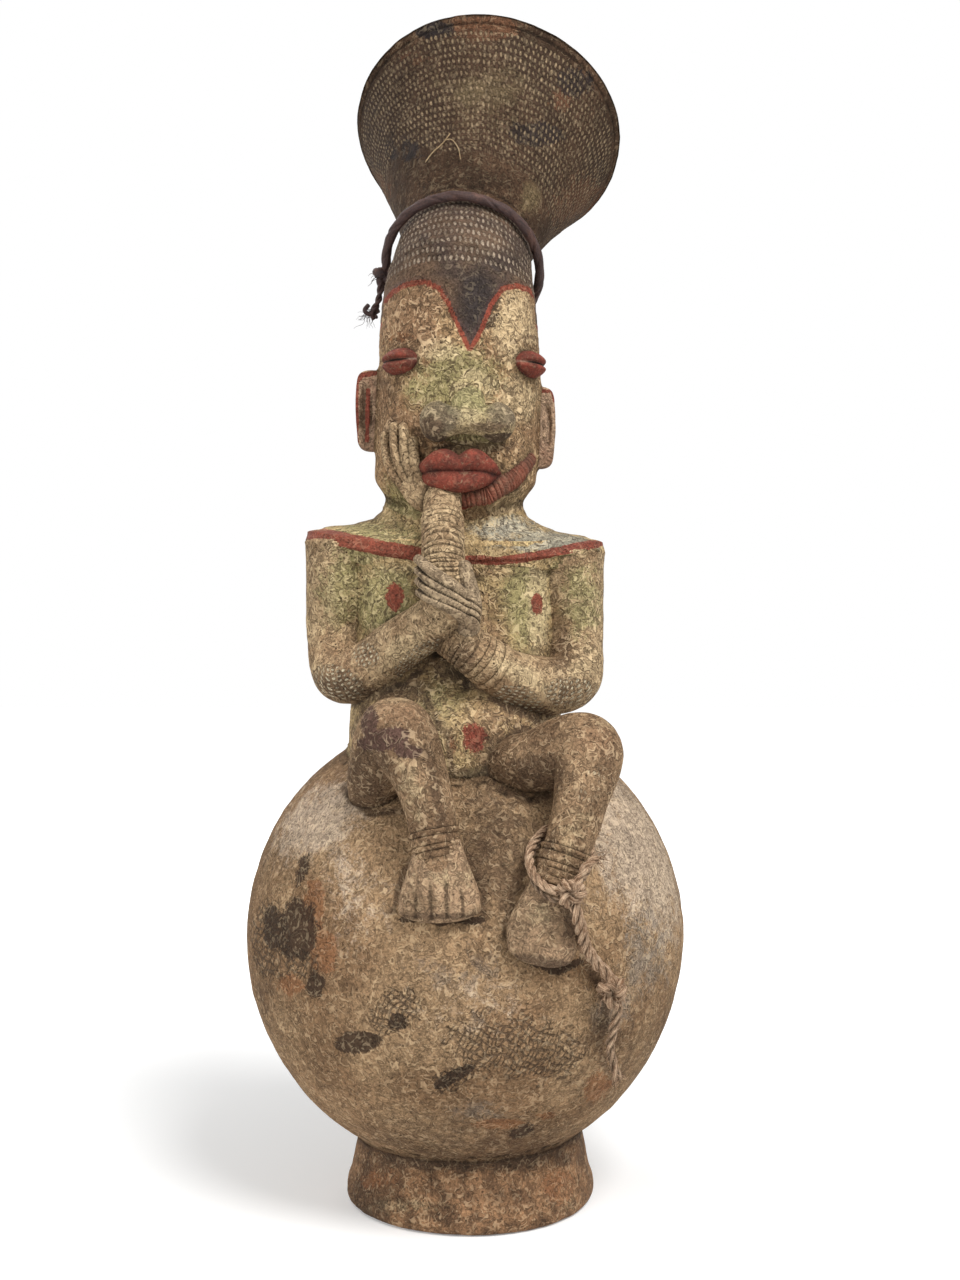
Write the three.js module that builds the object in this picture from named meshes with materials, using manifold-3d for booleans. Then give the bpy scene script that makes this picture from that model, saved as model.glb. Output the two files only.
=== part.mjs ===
// Figural clay jar: a seated figure on a round jar, hollow from its flared coiffure down to the jar.
// Each hand-formed clay piece that the potter luted on is a mesh of its own, and so are the leather
// thong round the coiffure and the fibre rope tied to one ankle.
// Units are millimetres, +Z is up and the figure faces -Y. The origin is on the floor, under the
// middle of the whole outline. "Right" and "left" are the figure's own.
import * as THREE from 'three';
import { mergeVertices } from 'three/addons/utils/BufferGeometryUtils.js';
import Module from 'manifold-3d';

const wasm = await Module();
wasm.setup();
const degrees = Math.PI / 180;

// Driving sizes

const seam = 0.3;                 // gap left at a luted joint between two pieces

const footHeight = 38;            // floor to the edge where the jar sits in its foot
const footBaseRadius = 68;
const footTopRadius = 62;
const footWall = 13;
const footX = 1.3;                // built by hand: the foot and the jar are a little out of line

const jarRadius = 121;
const jarLowerDepth = 126;        // the jar is drawn down a little below its widest line
const jarWall = 9;
const jarX = -1.6;
const jarY = -4.5;                // the coiffure leans back over the origin
const mouthRadius = 43;           // throat where the torso stands on the jar
const neckBore = 32;              // throat where it passes the shoulders

const figureX = -7;               // the figure stands a little off the jar's axis
const figureY = jarY - 8;
const torsoHeight = 86;           // top of the jar to the underside of the shoulder shelf
const hipHalfWidth = 59;
const bellyFront = 72;            // how far the belly stands in front of the figure's axis
const chestHalfWidth = 53;
const chestFront = 44;
const torsoBack = 46;

const shelfHalfWidth = 81.5;
const shelfFront = 46;
const shelfBack = 40;
const shelfThickness = 17;
const shelfSag = 9;               // the front edge hangs lower in the middle
const shelfSlope = 3;             // and the figure's left shoulder is this much lower

const neckRadius = 38.3;
const faceHalfWidth = 44.8;
const faceFront = 47;
const headBack = 43.5;
const headLength = 170;           // along the head's curved middle line, shelf to waist
const headWall = 8;
const headBendStart = 0.66;       // share of the head's length that stays upright
const waistRadius = 38.5;         // narrowest place, under the coiffure
const coiffureTilt = 37;          // degrees back from upright
const coiffureLean = 8.5;         // degrees to the figure's left
const faceTurn = 6.5;             // degrees, the face looks slightly to its left

const earHeight = 44;
const earThickness = 10;
const earRoot = 8;                // how far its slab runs into the head
const rightEarReach = 11;
const leftEarReach = 8.5;         // less of it shows, because the face is turned
const noseLobe = 10.5;            // half-width of the two round lobes at the ends of the nose
const noseBar = 8.5;

const coiffureLength = 113;
const coiffureRadius = 81.5;
const coiffureWall = 6.5;
const coiffureThroat = 0.09;      // share of its length before it starts to flare

const armRadius = 14;
const wristRadius = 10.5;
const upperArmDepth = 19;         // half the depth of the slab-like upper arm
const thighRadius = 15;
const kneeRadius = 18;
const shinRadius = 13.2;
const ankleRadius = 10.7;
const footHalfWidth = 18.5;
const footThickness = 14;

const thongRadius = 2.7;
const thongSlack = 2.4;           // how much wider the hoop is than the waist at its sides
const thongFrontSlack = 1.5;      // at its front
const thongBackSlack = 7;         // and at its back
const thongLow = 4.5;             // how far below the waist its front hangs
const thongDroop = 7;             // degrees that the hoop's back hangs below the waist's plane
const ropeRadius = 3;
const ankleLoopRadius = 2.7;

// Closed geometry from rings of points, and the booleans on it

// Lofts a skin through rings of equally many points and closes both ends with a fan.
function loft(rings) {
  const count = rings[0].length;
  const points = rings.flat();
  const index = [];
  rings.slice(1).forEach((_, r) => {
    for (let i = 0; i < count; i++) {
      const a = r * count + i;
      const b = r * count + ((i + 1) % count);
      index.push(a, b, b + count, a, b + count, a + count);
    }
  });
  for (const last of [false, true]) {
    const start = last ? (rings.length - 1) * count : 0;
    const middle = points.length;
    const ring = last ? rings[rings.length - 1] : rings[0];
    points.push(ring.reduce((sum, p) => sum.add(p), new THREE.Vector3()).divideScalar(count));
    for (let i = 0; i < count; i++) {
      const pair = [start + i, start + ((i + 1) % count)];
      index.push(middle, ...(last ? pair : pair.reverse()));
    }
  }
  return new THREE.BufferGeometry().setFromPoints(points).setIndex(index);
}

// A geometry as a manifold solid, turned so that its faces point out.
function solidOf(geometry) {
  const bare = new THREE.BufferGeometry().setAttribute('position', geometry.getAttribute('position'));
  bare.setIndex(geometry.index);
  const merged = mergeVertices(bare, 1e-3);
  const corners = merged.index.array;
  const at = (i) => new THREE.Vector3().fromBufferAttribute(merged.attributes.position, i);
  const triangles = [];
  let volume = 0;
  for (let i = 0; i < corners.length; i += 3) {
    const [a, b, c] = [corners[i], corners[i + 1], corners[i + 2]];
    if (a === b || b === c || a === c) continue;
    triangles.push([a, b, c]);
    volume += at(a).dot(at(b).cross(at(c)));
  }
  const facing = volume < 0 ? triangles.map((t) => t.reverse()) : triangles;
  return new wasm.Manifold(new wasm.Mesh({
    numProp: 3,
    vertProperties: Float32Array.from(merged.attributes.position.array),
    triVerts: Uint32Array.from(facing.flat()),
  }));
}

const joined = (solids) => solids.reduce((sum, solid) => sum.add(solid));
const cutBy = (solid, tools) => tools.reduce((rest, tool) => rest.subtract(tool), solid);

// The largest body that a cut leaves, without the slivers.
function largest(solid) {
  return solid.decompose().reduce((best, body) => (body.volume() > best.volume() ? body : best));
}

function geometryOf(solid) {
  const mesh = solid.getMesh();
  const geometry = new THREE.BufferGeometry();
  geometry.setAttribute('position', new THREE.BufferAttribute(mesh.vertProperties, mesh.numProp));
  geometry.setIndex(new THREE.BufferAttribute(mesh.triVerts, 1));
  geometry.computeVertexNormals();
  return geometry;
}

// A solid of revolution about +Z from [radius, height] pairs.
function revolved(profile, segments) {
  const points = profile.map(([radius, height]) => new THREE.Vector2(radius, height));
  return new THREE.LatheGeometry(points, segments).rotateX(90 * degrees);
}

// The values at one share, eased between rows of [share, value, value...].
function eased(rows, share) {
  const after = Math.max(1, rows.findIndex((row) => row[0] >= share));
  const [low, high] = [rows[after - 1], rows[after]];
  const straight = THREE.MathUtils.clamp((share - low[0]) / (high[0] - low[0]), 0, 1);
  const blend = (THREE.MathUtils.smootherstep(share, low[0], high[0]) + straight) / 2;
  return low.slice(1).map((value, i) => THREE.MathUtils.lerp(value, high[i + 1], blend));
}

// A roll of clay through points: oval in section, tapered, with rounded ends. sizes holds at each
// point the half-width along "across" and the other one; bands are raised rings between two shares.
function limb({ points, sizes, across, sides = 12, steps = 4, grow = 0, bands = null, dome = 2 }) {
  const curve = new THREE.CatmullRomCurve3(points, false, 'centripetal');
  const widths = new THREE.CatmullRomCurve3(sizes.map(([a, b]) => new THREE.Vector3(a, b, 0)));
  const stations = new Map();
  const total = steps * (points.length - 1);
  for (let i = 0; i <= total; i++) stations.set(i / total, 0);
  if (bands) {
    const inBand = (share) => share > bands.from && share < bands.to;
    [...stations.keys()].filter(inBand).forEach((share) => stations.delete(share));
    for (let k = 0; k <= 2 * bands.count; k++) {
      const share = THREE.MathUtils.lerp(bands.from, bands.to, k / (2 * bands.count));
      stations.set(share, k % 2 ? bands.depth : 0);
    }
  }
  const ringAt = (share, swell, shift = 0, scale = 1) => {
    const along = curve.getTangent(share);
    const middle = curve.getPoint(share).addScaledVector(along, shift);
    const u = across.clone().addScaledVector(along, -across.dot(along)).normalize();
    const v = along.clone().cross(u);
    const size = widths.getPoint(share);
    return Array.from({ length: sides }, (_, i) => {
      const angle = ((i + 0.5) / sides) * 360 * degrees;
      return middle.clone()
        .addScaledVector(u, (size.x * scale + swell + grow) * Math.cos(angle))
        .addScaledVector(v, (size.y * scale + swell + grow) * Math.sin(angle));
    });
  };
  const inOrder = [...stations.entries()].sort((a, b) => a[0] - b[0]);
  const rings = inOrder.map(([share, swell]) => ringAt(share, swell));
  const reach = (size, angle) => (Math.min(...size) + grow) * Math.sin(angle);
  for (let k = 1; k <= dome; k++) {
    const angle = (k / (dome + 0.6)) * 90 * degrees;
    rings.unshift(ringAt(0, 0, -reach(sizes[0], angle), Math.cos(angle)));
    rings.push(ringAt(1, 0, reach(sizes[sizes.length - 1], angle), Math.cos(angle)));
  }
  return solidOf(loft(rings));
}

// A closed ring of a round section: pointAt gives its middle line at a share of the way round.
function closedRing(pointAt, up, radius, steps, sides = 7) {
  const points = Array.from({ length: steps }, (_, i) => {
    const [before, middle, after] = [-1, 0, 1].map((k) => pointAt(((i + k + steps) % steps) / steps));
    const along = after.clone().sub(before).normalize();
    const u = up.clone().addScaledVector(along, -up.dot(along)).normalize();
    const v = along.clone().cross(u);
    return Array.from({ length: sides }, (_, k) => {
      const angle = (k / sides) * 360 * degrees;
      const [aside, above] = [radius * Math.cos(angle), radius * Math.sin(angle)];
      return middle.clone().addScaledVector(u, aside).addScaledVector(v, above);
    });
  }).flat();
  const index = [];
  for (let r = 0; r < steps; r++) {
    for (let i = 0; i < sides; i++) {
      const [row, next] = [r * sides, ((r + 1) % steps) * sides];
      const j = (i + 1) % sides;
      index.push(row + i, row + j, next + j, row + i, next + j, next + i);
    }
  }
  return solidOf(new THREE.BufferGeometry().setFromPoints(points).setIndex(index));
}

// A ring of points round a level section of the figure: half-width, depths and squareness.
function levelRing(z, halfWidth, front, back, square, count = 28) {
  return Array.from({ length: count }, (_, i) => {
    const angle = (i / count) * 360 * degrees;
    const round = (value) => Math.sign(value) * Math.abs(value) ** (2 / square);
    const [x, y] = [round(Math.cos(angle)), round(Math.sin(angle))];
    return new THREE.Vector3(figureX + halfWidth * x, figureY + (y < 0 ? front : back) * y, z);
  });
}

// The jar and its foot

const jarCentreZ = footHeight + jarLowerDepth * Math.sqrt(1 - (footTopRadius / jarRadius) ** 2);
const seatZ = jarCentreZ + jarRadius;
const shelfZ = seatZ + torsoHeight;
const neckZ = shelfZ + shelfThickness * 0.45;

// A point over the jar: degrees round from the front towards the figure's left, degrees above
// its widest line, and how far off its surface.
function overJar(round, up, out) {
  const [a, e] = [round * degrees, up * degrees];
  const reach = Math.cos(e) * (jarRadius + out);
  const rise = Math.sin(e) * ((e < 0 ? jarLowerDepth : jarRadius) + out);
  return new THREE.Vector3(jarX + Math.sin(a) * reach, jarY - Math.cos(a) * reach, jarCentreZ + rise);
}

function jarBall(grow, half = 10, segments = 36) {
  const profile = Array.from({ length: 2 * half + 1 }, (_, i) => {
    const angle = ((i - half) / half) * 90 * degrees;
    const depth = (angle < 0 ? jarLowerDepth : jarRadius) + grow;
    const radius = Math.abs(i - half) === half ? 0 : Math.cos(angle) * (jarRadius + grow);
    return [radius, jarCentreZ + Math.sin(angle) * depth];
  });
  return solidOf(revolved(profile, segments).translate(jarX, jarY, 0));
}

// The hollow that runs from the jar through the torso and the shoulders, for cutting.
function throat() {
  const below = seatZ - jarRadius * 0.3;
  const above = shelfZ + shelfThickness * 2;
  const profile = [
    [0, below], [mouthRadius, below], [mouthRadius, seatZ],
    [(mouthRadius * 2 + neckBore) / 3, seatZ + torsoHeight * 0.55],
    [neckBore, shelfZ - 6], [neckBore, above], [0, above],
  ];
  return solidOf(revolved(profile, 18).translate(figureX, figureY, 0));
}

function jar() {
  return largest(cutBy(jarBall(0), [jarBall(-jarWall, 6, 22), throat()]));
}

function footRing() {
  const top = footHeight + 5;
  const flare = footBaseRadius - footTopRadius;
  const profile = [
    [footBaseRadius - 2, 0], [footBaseRadius + 0.5, 2.5], [footBaseRadius, 9],
    [footTopRadius + flare * 0.55, footHeight * 0.5], [footTopRadius, footHeight - 3],
    [footTopRadius - 1, top], [footTopRadius - footWall, top],
    [footBaseRadius - footWall, 0], [footBaseRadius - 2, 0],
  ];
  return largest(cutBy(solidOf(revolved(profile, 36).translate(footX, jarY, 0)), [jarBall(seam)]));
}

// Torso and the shoulder shelf on it

function torsoOuter(grow) {
  const rows = [
    [-0.72, hipHalfWidth - 6, bellyFront - 18, torsoBack + 2, 2],
    [-0.32, hipHalfWidth, bellyFront, torsoBack + 6, 2.2],
    [-0.05, hipHalfWidth - 1, bellyFront - 4, torsoBack + 4, 2.4],
    [0.28, chestHalfWidth + 1, chestFront + 10, torsoBack, 2.9],
    [0.66, chestHalfWidth, chestFront + 1, torsoBack - 3, 3.4],
    [1, chestHalfWidth + 1, chestFront, torsoBack - 5, 3.4],
  ];
  const shares = [-0.72, -0.5, -0.32, -0.14, 0.06, 0.28, 0.5, 0.76, 1];
  return solidOf(loft(shares.map((share) => {
    const [halfWidth, front, back, square] = eased(rows, share);
    const z = seatZ + share * torsoHeight + (share === 1 ? shelfThickness * 0.5 : 0);
    return levelRing(z, halfWidth + grow, front + grow, back + grow, square);
  })));
}

function shelfOuter(grow) {
  const rows = [
    [0, shelfHalfWidth - 3, shelfFront - 3, shelfBack - 2, 3.2],
    [0.25, shelfHalfWidth, shelfFront, shelfBack, 3.4],
    [0.6, shelfHalfWidth - 0.5, shelfFront - 1, shelfBack, 3.2],
    [0.82, shelfHalfWidth - 9, shelfFront - 4, shelfBack - 3, 2.8],
    [1, neckRadius + 17, neckRadius + 3, neckRadius - 2, 2.2],
    [1.24, neckRadius + 6, neckRadius + 2.5, neckRadius + 1, 2],
    [1.6, neckRadius + 2.5, neckRadius + 1.5, neckRadius + 1, 2],
  ];
  const geometry = loft(rows.map(([share, halfWidth, front, back, square]) => {
    const z = shelfZ + share * shelfThickness;
    return levelRing(z, halfWidth + grow, front + grow, back + grow, square);
  }));
  const position = geometry.attributes.position;
  for (let i = 0; i < position.count; i++) {
    const x = (position.getX(i) - figureX) / shelfHalfWidth;
    const y = (figureY - position.getY(i)) / shelfFront;
    const forward = THREE.MathUtils.smoothstep(y, 0.1, 0.95);
    position.setZ(i, position.getZ(i) - shelfSag * Math.max(0, 1 - x * x) * forward - shelfSlope * x);
  }
  if (grow > 0) geometry.translate(0, 0, -grow);
  return solidOf(geometry);
}

function shoulderShelf() {
  return largest(cutBy(shelfOuter(0), [throat(), headOuter(seam)]));
}

function torso() {
  return largest(cutBy(torsoOuter(0), [shelfOuter(seam), jarBall(seam), throat(), headOuter(seam)]));
}

// Head, from its neck to the waist below the coiffure

const waistTurn = new THREE.Quaternion().setFromEuler(
  new THREE.Euler(-coiffureTilt * degrees, coiffureLean * degrees, 0, 'YXZ'));

// Where the head's middle line is at a share of its length, and how its section is turned there.
function headFrame(share) {
  const bendAt = (s) => THREE.MathUtils.smoothstep(s, headBendStart, 1);
  const turnAt = (s) => new THREE.Quaternion().slerp(waistTurn, bendAt(s));
  const middle = new THREE.Vector3(figureX - 1.5, figureY, neckZ);
  const pieces = 24;
  for (let i = 0; i < pieces; i++) {
    const part = ((i + 0.5) / pieces) * share;
    const up = new THREE.Vector3(part < 0.55 ? 0.042 : -0.01, 0, 1).applyQuaternion(turnAt(part));
    middle.addScaledVector(up.normalize(), (headLength * share) / pieces);
  }
  return { middle, turn: turnAt(share) };
}

// A point on the head: share of its length, degrees round from the middle of the face, height off.
function onHead(share, round, out = 0) {
  const { middle, turn } = headFrame(share);
  const narrowing = THREE.MathUtils.clamp((share - 0.5) / 0.5, 0, 1) ** 1.8;
  const angle = (round + faceTurn) * degrees;
  const facing = Math.cos(angle);
  // The face stands proud of the neck above a jaw line that climbs towards the ears.
  const jaw = 0.085 + 0.055 * (1 - Math.cos(round * degrees));
  const face = THREE.MathUtils.smoothstep(share, jaw, jaw + 0.075);
  const halfWidth = THREE.MathUtils.lerp(neckRadius, faceHalfWidth, face);
  const front = THREE.MathUtils.lerp(neckRadius - 1, faceFront, face);
  const depth = facing > 0 ? front : THREE.MathUtils.lerp(neckRadius, headBack, face);
  const rx = THREE.MathUtils.lerp(halfWidth, waistRadius, narrowing) + out;
  const ry = THREE.MathUtils.lerp(depth, waistRadius, narrowing) + out;
  return new THREE.Vector3(rx * Math.sin(angle), -ry * facing, 0).applyQuaternion(turn).add(middle);
}

function headRings(grow, shares, count = 28) {
  const ringAt = (share) => Array.from({ length: count }, (_, i) => {
    return onHead(share, (i / count) * 360, grow);
  });
  return shares.map(ringAt);
}

function headOuter(grow) {
  const rings = headRings(grow, [0, 0.09, 0.13, 0.17, 0.22, 0.36, 0.52, 0.66, 0.76, 0.84, 0.92, 1]);
  if (grow > 0) rings.unshift(rings[0].map((p) => p.clone().setZ(p.z - grow)));
  return solidOf(loft(rings));
}

function head() {
  const bore = headRings(-headWall, [0, 0.16, 0.5, 0.7, 0.82, 0.92, 1], 16);
  const onward = new THREE.Vector3(0, 0, 4).applyQuaternion(headFrame(1).turn);
  bore.unshift(bore[0].map((p) => p.clone().setZ(p.z - 4)));
  bore.push(bore[bore.length - 1].map((p) => p.clone().add(onward)));
  return largest(headOuter(0).subtract(solidOf(loft(bore))));
}

// The flared coiffure, open at the top

function coiffureShare(share) {
  const t = Math.max(0, (share - coiffureThroat) / (1 - coiffureThroat));
  return waistRadius + (coiffureRadius - waistRadius) * (0.65 * t + 0.35 * t ** 1.7);
}

function coiffure() {
  const shares = [0, 0.1, 0.26, 0.46, 0.7, 0.96];
  const outer = shares.map((s) => [coiffureShare(s), seam + s * coiffureLength]);
  const wall = (s) => THREE.MathUtils.lerp(headWall, coiffureWall, s);
  const inner = shares.map((s) => [coiffureShare(s) - wall(s), seam + s * coiffureLength]);
  const rim = [
    [coiffureRadius, coiffureLength - 1.5], [coiffureRadius - 1.5, coiffureLength],
    [coiffureRadius - coiffureWall + 1.5, coiffureLength],
  ];
  const profile = [...outer, ...rim, ...inner.reverse(), outer[0]];
  const { middle, turn } = headFrame(1);
  return solidOf(revolved(profile, 36).applyQuaternion(turn).translate(...middle.toArray()));
}

// Ears, eyes, nose, lips and the notched band on the jaw

function ear(side, level, reach) {
  const [height, thickness] = [earHeight, earThickness];
  const shape = new THREE.Shape();
  shape.moveTo(-earRoot, -height * 0.42);
  shape.lineTo(reach - 7, -height / 2);
  shape.quadraticCurveTo(reach - 1, -height / 2, reach - 1, -height / 2 + 6);
  shape.lineTo(reach, height / 2 - 8);
  shape.quadraticCurveTo(reach, height / 2, reach - 8, height / 2);
  shape.lineTo(-earRoot, height * 0.42);
  const slab = new THREE.ExtrudeGeometry(shape, {
    depth: thickness - 3, bevelThickness: 1.5, bevelSize: 1.5, bevelSegments: 1, curveSegments: 3,
  });
  const hollow = new THREE.SphereGeometry(1, 10, 6).scale(reach * 0.34, height * 0.33, 4);
  const ridge = new THREE.SphereGeometry(1, 8, 5).scale(2, height * 0.21, 2.6);
  hollow.translate(reach * 0.5, 0, thickness - 1.5);
  ridge.translate(reach * 0.45, -1, thickness - 4.5);
  const relief = solidOf(slab).subtract(solidOf(hollow)).add(solidOf(ridge));
  const root = onHead(level, side * 90 - faceTurn, 0);
  const placed = new THREE.Matrix4().makeRotationX(90 * degrees);
  if (side < 0) placed.premultiply(new THREE.Matrix4().makeScale(-1, 1, 1));
  placed.premultiply(new THREE.Matrix4().makeTranslation(root.x, root.y + thickness / 2, root.z));
  return largest(relief.transform(placed.elements).subtract(headOuter(seam)));
}

// A coffee-bean eye: an oval pellet with a slit between its lids.
function eye(side) {
  const [halfLength, halfHeight, proud] = [12.5, 8, 8];
  const round = side * 50;
  const bean = new THREE.SphereGeometry(1, 14, 8).scale(halfLength, proud, halfHeight);
  const slit = new THREE.TorusGeometry(halfLength, 1.3, 3, 16).scale(1, proud / halfLength, 0.7);
  const turn = new THREE.Quaternion().setFromEuler(new THREE.Euler(0, 0, (round + faceTurn) * degrees));
  const middle = onHead(0.56, round, 0.5).toArray();
  const placed = (geometry) => solidOf(geometry.applyQuaternion(turn).translate(...middle));
  return largest(cutBy(placed(bean), [placed(slit), headOuter(seam)]));
}

const zAxis = new THREE.Vector3(0, 0, 1);
const yAxis = new THREE.Vector3(0, 1, 0);
const xAxis = new THREE.Vector3(1, 0, 0);

function nose() {
  const [level, wing, turn] = [0.36, 17.5, 1];
  const bar = limb({
    points: [-1, -0.5, 0, 0.5, 1].map((part) => onHead(level, turn + wing * part, 6 - 1.5 * Math.abs(part))),
    sizes: [
      [noseLobe, noseLobe - 0.5], [noseBar, noseBar], [noseBar - 0.5, noseBar], [noseBar, noseBar],
      [noseLobe, noseLobe - 0.5],
    ],
    across: zAxis, steps: 2, sides: 12, dome: 3,
  });
  const bridge = limb({
    points: [onHead(level + 0.13, turn, -3), onHead(level + 0.07, turn, 0), onHead(level + 0.01, turn, 4)],
    sizes: [[7, 4], [12, 6], [16, 9]],
    across: xAxis, steps: 2, sides: 12,
  });
  return largest(bar.add(bridge).subtract(headOuter(seam)));
}

const mouthLevel = 0.2;
const mouthRound = -3.8;

// A roll along the mouth, through [degrees from its middle, level above it, height off the face].
function lip(route, sizes, grow) {
  return limb({
    points: route.map(([round, rise, out]) => onHead(mouthLevel + rise, mouthRound + round, out)),
    sizes, across: zAxis, sides: 8, steps: 2, grow,
  });
}

function upperLip(grow = 0) {
  const half = [[29, 0.006, 0.5], [20, 0.022, 3], [9, 0.04, 5]];
  const route = [...half.map(([r, ...rest]) => [-r, ...rest]), [0, 0.028, 5], ...half.reverse()];
  return lip(route, [[2, 2], [4.4, 4], [6, 4.8], [5, 4.2], [6, 4.8], [4.4, 4], [2, 2]], grow);
}

function lowerLip(grow = 0) {
  const half = [[27, -0.008, 0.5], [14, -0.034, 4]];
  const route = [...half.map(([r, ...rest]) => [-r, ...rest]), [0, -0.044, 6], ...half.reverse()];
  return lip(route, [[2.4, 2.4], [6, 5.4], [7, 6], [6, 5.4], [2.4, 2.4]], grow);
}

// The band of short rolls along the jaw: one strip whose ridges run across it.
function jawBand() {
  const ridges = 16;
  const rows = [[0, 2, 0.124, 4.5], [0.3, 18, 0.14, 6], [0.65, 37, 0.19, 5.6], [1, 56, 0.265, 4]];
  const points = [];
  const sizes = [];
  for (let i = 0; i <= 2 * ridges; i++) {
    const [round, level, halfWidth] = eased(rows, i / (2 * ridges));
    points.push(onHead(level, round, 1));
    sizes.push([halfWidth, i % 2 ? 3 : 1.9]);
  }
  const band = limb({ points, sizes, across: zAxis, sides: 6, steps: 1, dome: 1 });
  return largest(cutBy(band, [headOuter(seam), lowerLip(seam), rightArm(seam), rightHand(seam)]));
}

// A place on the figure: millimetres from its axis, and a share of the torso's height.
const atFigure = (x, y, share) => new THREE.Vector3(figureX + x, figureY + y, seatZ + share * torsoHeight);

// Arms

const armX = shelfHalfWidth - armRadius - 1.5;
const elbowY = -chestFront * 0.75;
const wristY = -chestFront - armRadius - wristRadius * 1.35;

function upperArm(side) {
  const route = [[armX, -8, 1.12], [armX + 0.5, -10, 0.8], [armX, -15, 0.5]];
  return {
    points: route.map(([x, y, share]) => atFigure(side * x, y, share)),
    sizes: [
      [upperArmDepth, armRadius + 1], [upperArmDepth, armRadius + 1],
      [upperArmDepth - 3, armRadius + 0.5],
    ],
  };
}

// The right forearm crosses to the middle, and its wrist stands up to the chin.
function rightArm(grow = 0) {
  const upper = upperArm(-1);
  return limb({
    points: [
      ...upper.points, atFigure(-armX + 7, elbowY, 0.245), atFigure(-28, (elbowY + wristY) / 2, 0.45),
      atFigure(-5, wristY, 0.67), atFigure(-5, wristY + 3, 0.92), onHead(0.115, -13, 5),
    ],
    sizes: [
      ...upper.sizes, [armRadius, armRadius], [armRadius - 0.5, armRadius - 0.5],
      [wristRadius + 1.5, wristRadius + 1.5], [wristRadius, wristRadius],
      [wristRadius - 0.5, wristRadius - 0.5],
    ],
    across: yAxis, sides: 10, steps: 3, grow, bands: { from: 0.835, to: 0.95, count: 5, depth: 0.8 },
  });
}

// The left forearm crosses below it.
function leftArm(grow = 0) {
  const upper = upperArm(1);
  return limb({
    points: [
      ...upper.points, atFigure(armX - 4, elbowY, 0.23), atFigure(armX - 17, elbowY - 8, 0.19),
      atFigure(31, wristY + 18, 0.25), atFigure(8, wristY + 7, 0.42), atFigure(-3, wristY + 10, 0.52),
    ],
    sizes: [
      ...upper.sizes, [armRadius + 1, armRadius + 1], [armRadius + 1, armRadius + 1],
      [armRadius - 0.5, armRadius - 0.5], [wristRadius + 0.3, wristRadius + 0.3],
      [wristRadius - 0.5, wristRadius - 0.5],
    ],
    across: yAxis, sides: 10, steps: 3, grow, bands: { from: 0.78, to: 0.96, count: 6, depth: 0.8 },
  });
}

// The left hand: a palm beside the right wrist, and four fingers laid round the front of it.
function leftHand(grow = 0) {
  const gripX = -5;
  const reach = wristRadius + 3.4;
  const palm = limb({
    points: [
      atFigure(gripX + 12, wristY + 1, 0.53), atFigure(gripX + reach, wristY - 4, 0.67),
      atFigure(gripX + reach - 3, wristY - 5, 0.9),
    ],
    sizes: [[6.5, 6.5], [7.5, 6], [5, 4]],
    across: yAxis, sides: 10, steps: 2, grow,
  });
  const bend = (angle, share, out) => {
    const [sine, cosine] = [Math.sin(angle * degrees), Math.cos(angle * degrees)];
    return atFigure(gripX + (reach + out) * sine, wristY + 1 - (reach + out) * cosine, share);
  };
  const fingers = [0, 1, 2, 3].map((i) => {
    const [tip, root] = [0.945 - 0.064 * i, 0.79 - 0.045 * i];
    return limb({
      points: [
        bend(-60 + 2 * i, tip, 0), bend(-22, (tip * 2 + root) / 3 + 0.015, 0.5),
        bend(26, (tip + root * 2) / 3, 0.8), bend(72, root - 0.02, 0.5),
      ],
      sizes: [[2.9, 3.2], [3.5, 3.8], [3.7, 4], [4, 4.2]],
      across: zAxis, sides: 6, steps: 2, grow, dome: 1,
    });
  });
  return joined([palm, ...fingers]);
}

// The right hand: it cups the jaw, and its fingers fan out over the cheek.
function rightHand(grow = 0) {
  const slant = new THREE.Vector3(0.7, 0, 0.7);
  const palm = limb({
    points: [onHead(0.1, -18, 7), onHead(0.13, -26, 5), onHead(0.175, -34, 3)],
    sizes: [[9, 6], [10, 5.5], [9, 4.5]],
    across: slant, sides: 10, steps: 2, grow,
  });
  const tips = [[-35, 0.305], [-43.5, 0.35], [-52.5, 0.355], [-62, 0.335]];
  const fingers = tips.map(([round, level], i) => limb({
    points: [
      onHead(0.14, -25 - 5 * i, 4), onHead((0.13 + level) / 2, (round - 27 - 5 * i) / 2, 2.8),
      onHead(level, round, 0.8),
    ],
    sizes: [[3.7, 4], [4, 4], [3.2, 2.8]],
    across: slant, sides: 6, steps: 2, grow, dome: 1,
  }));
  return joined([palm, ...fingers]);
}

// Legs and feet on the jar

function legRoute(side) {
  const right = side < 0;
  const ankle = right ? overJar(-5.9, 29.5, 13) : overJar(22.5, 23.5, 13);
  const knee = right ? atFigure(-28, -88, -0.065) : atFigure(66.5, -84, -0.16);
  const thigh = right
    ? [atFigure(-38, -50, -0.53), atFigure(-38, -71, -0.3)]
    : [atFigure(14, -46, -0.33), atFigure(39, -68, -0.25)];
  const shin = knee.clone().lerp(ankle, 0.5).add(new THREE.Vector3(3, -3, 1));
  return { thigh, knee, shin, ankle };
}

function leg(side, grow = 0) {
  const { thigh, knee, shin, ankle } = legRoute(side);
  const round = (radius) => [radius, radius];
  return limb({
    points: [...thigh, knee, shin, ankle],
    sizes: [thighRadius, thighRadius + 0.5, kneeRadius, shinRadius, ankleRadius].map(round),
    across: knee.clone().sub(thigh[0]).cross(ankle.clone().sub(knee)).normalize(),
    sides: 12, steps: 3, grow, bands: { from: 0.9, to: 0.985, count: 3, depth: 0.8 },
  });
}

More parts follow.
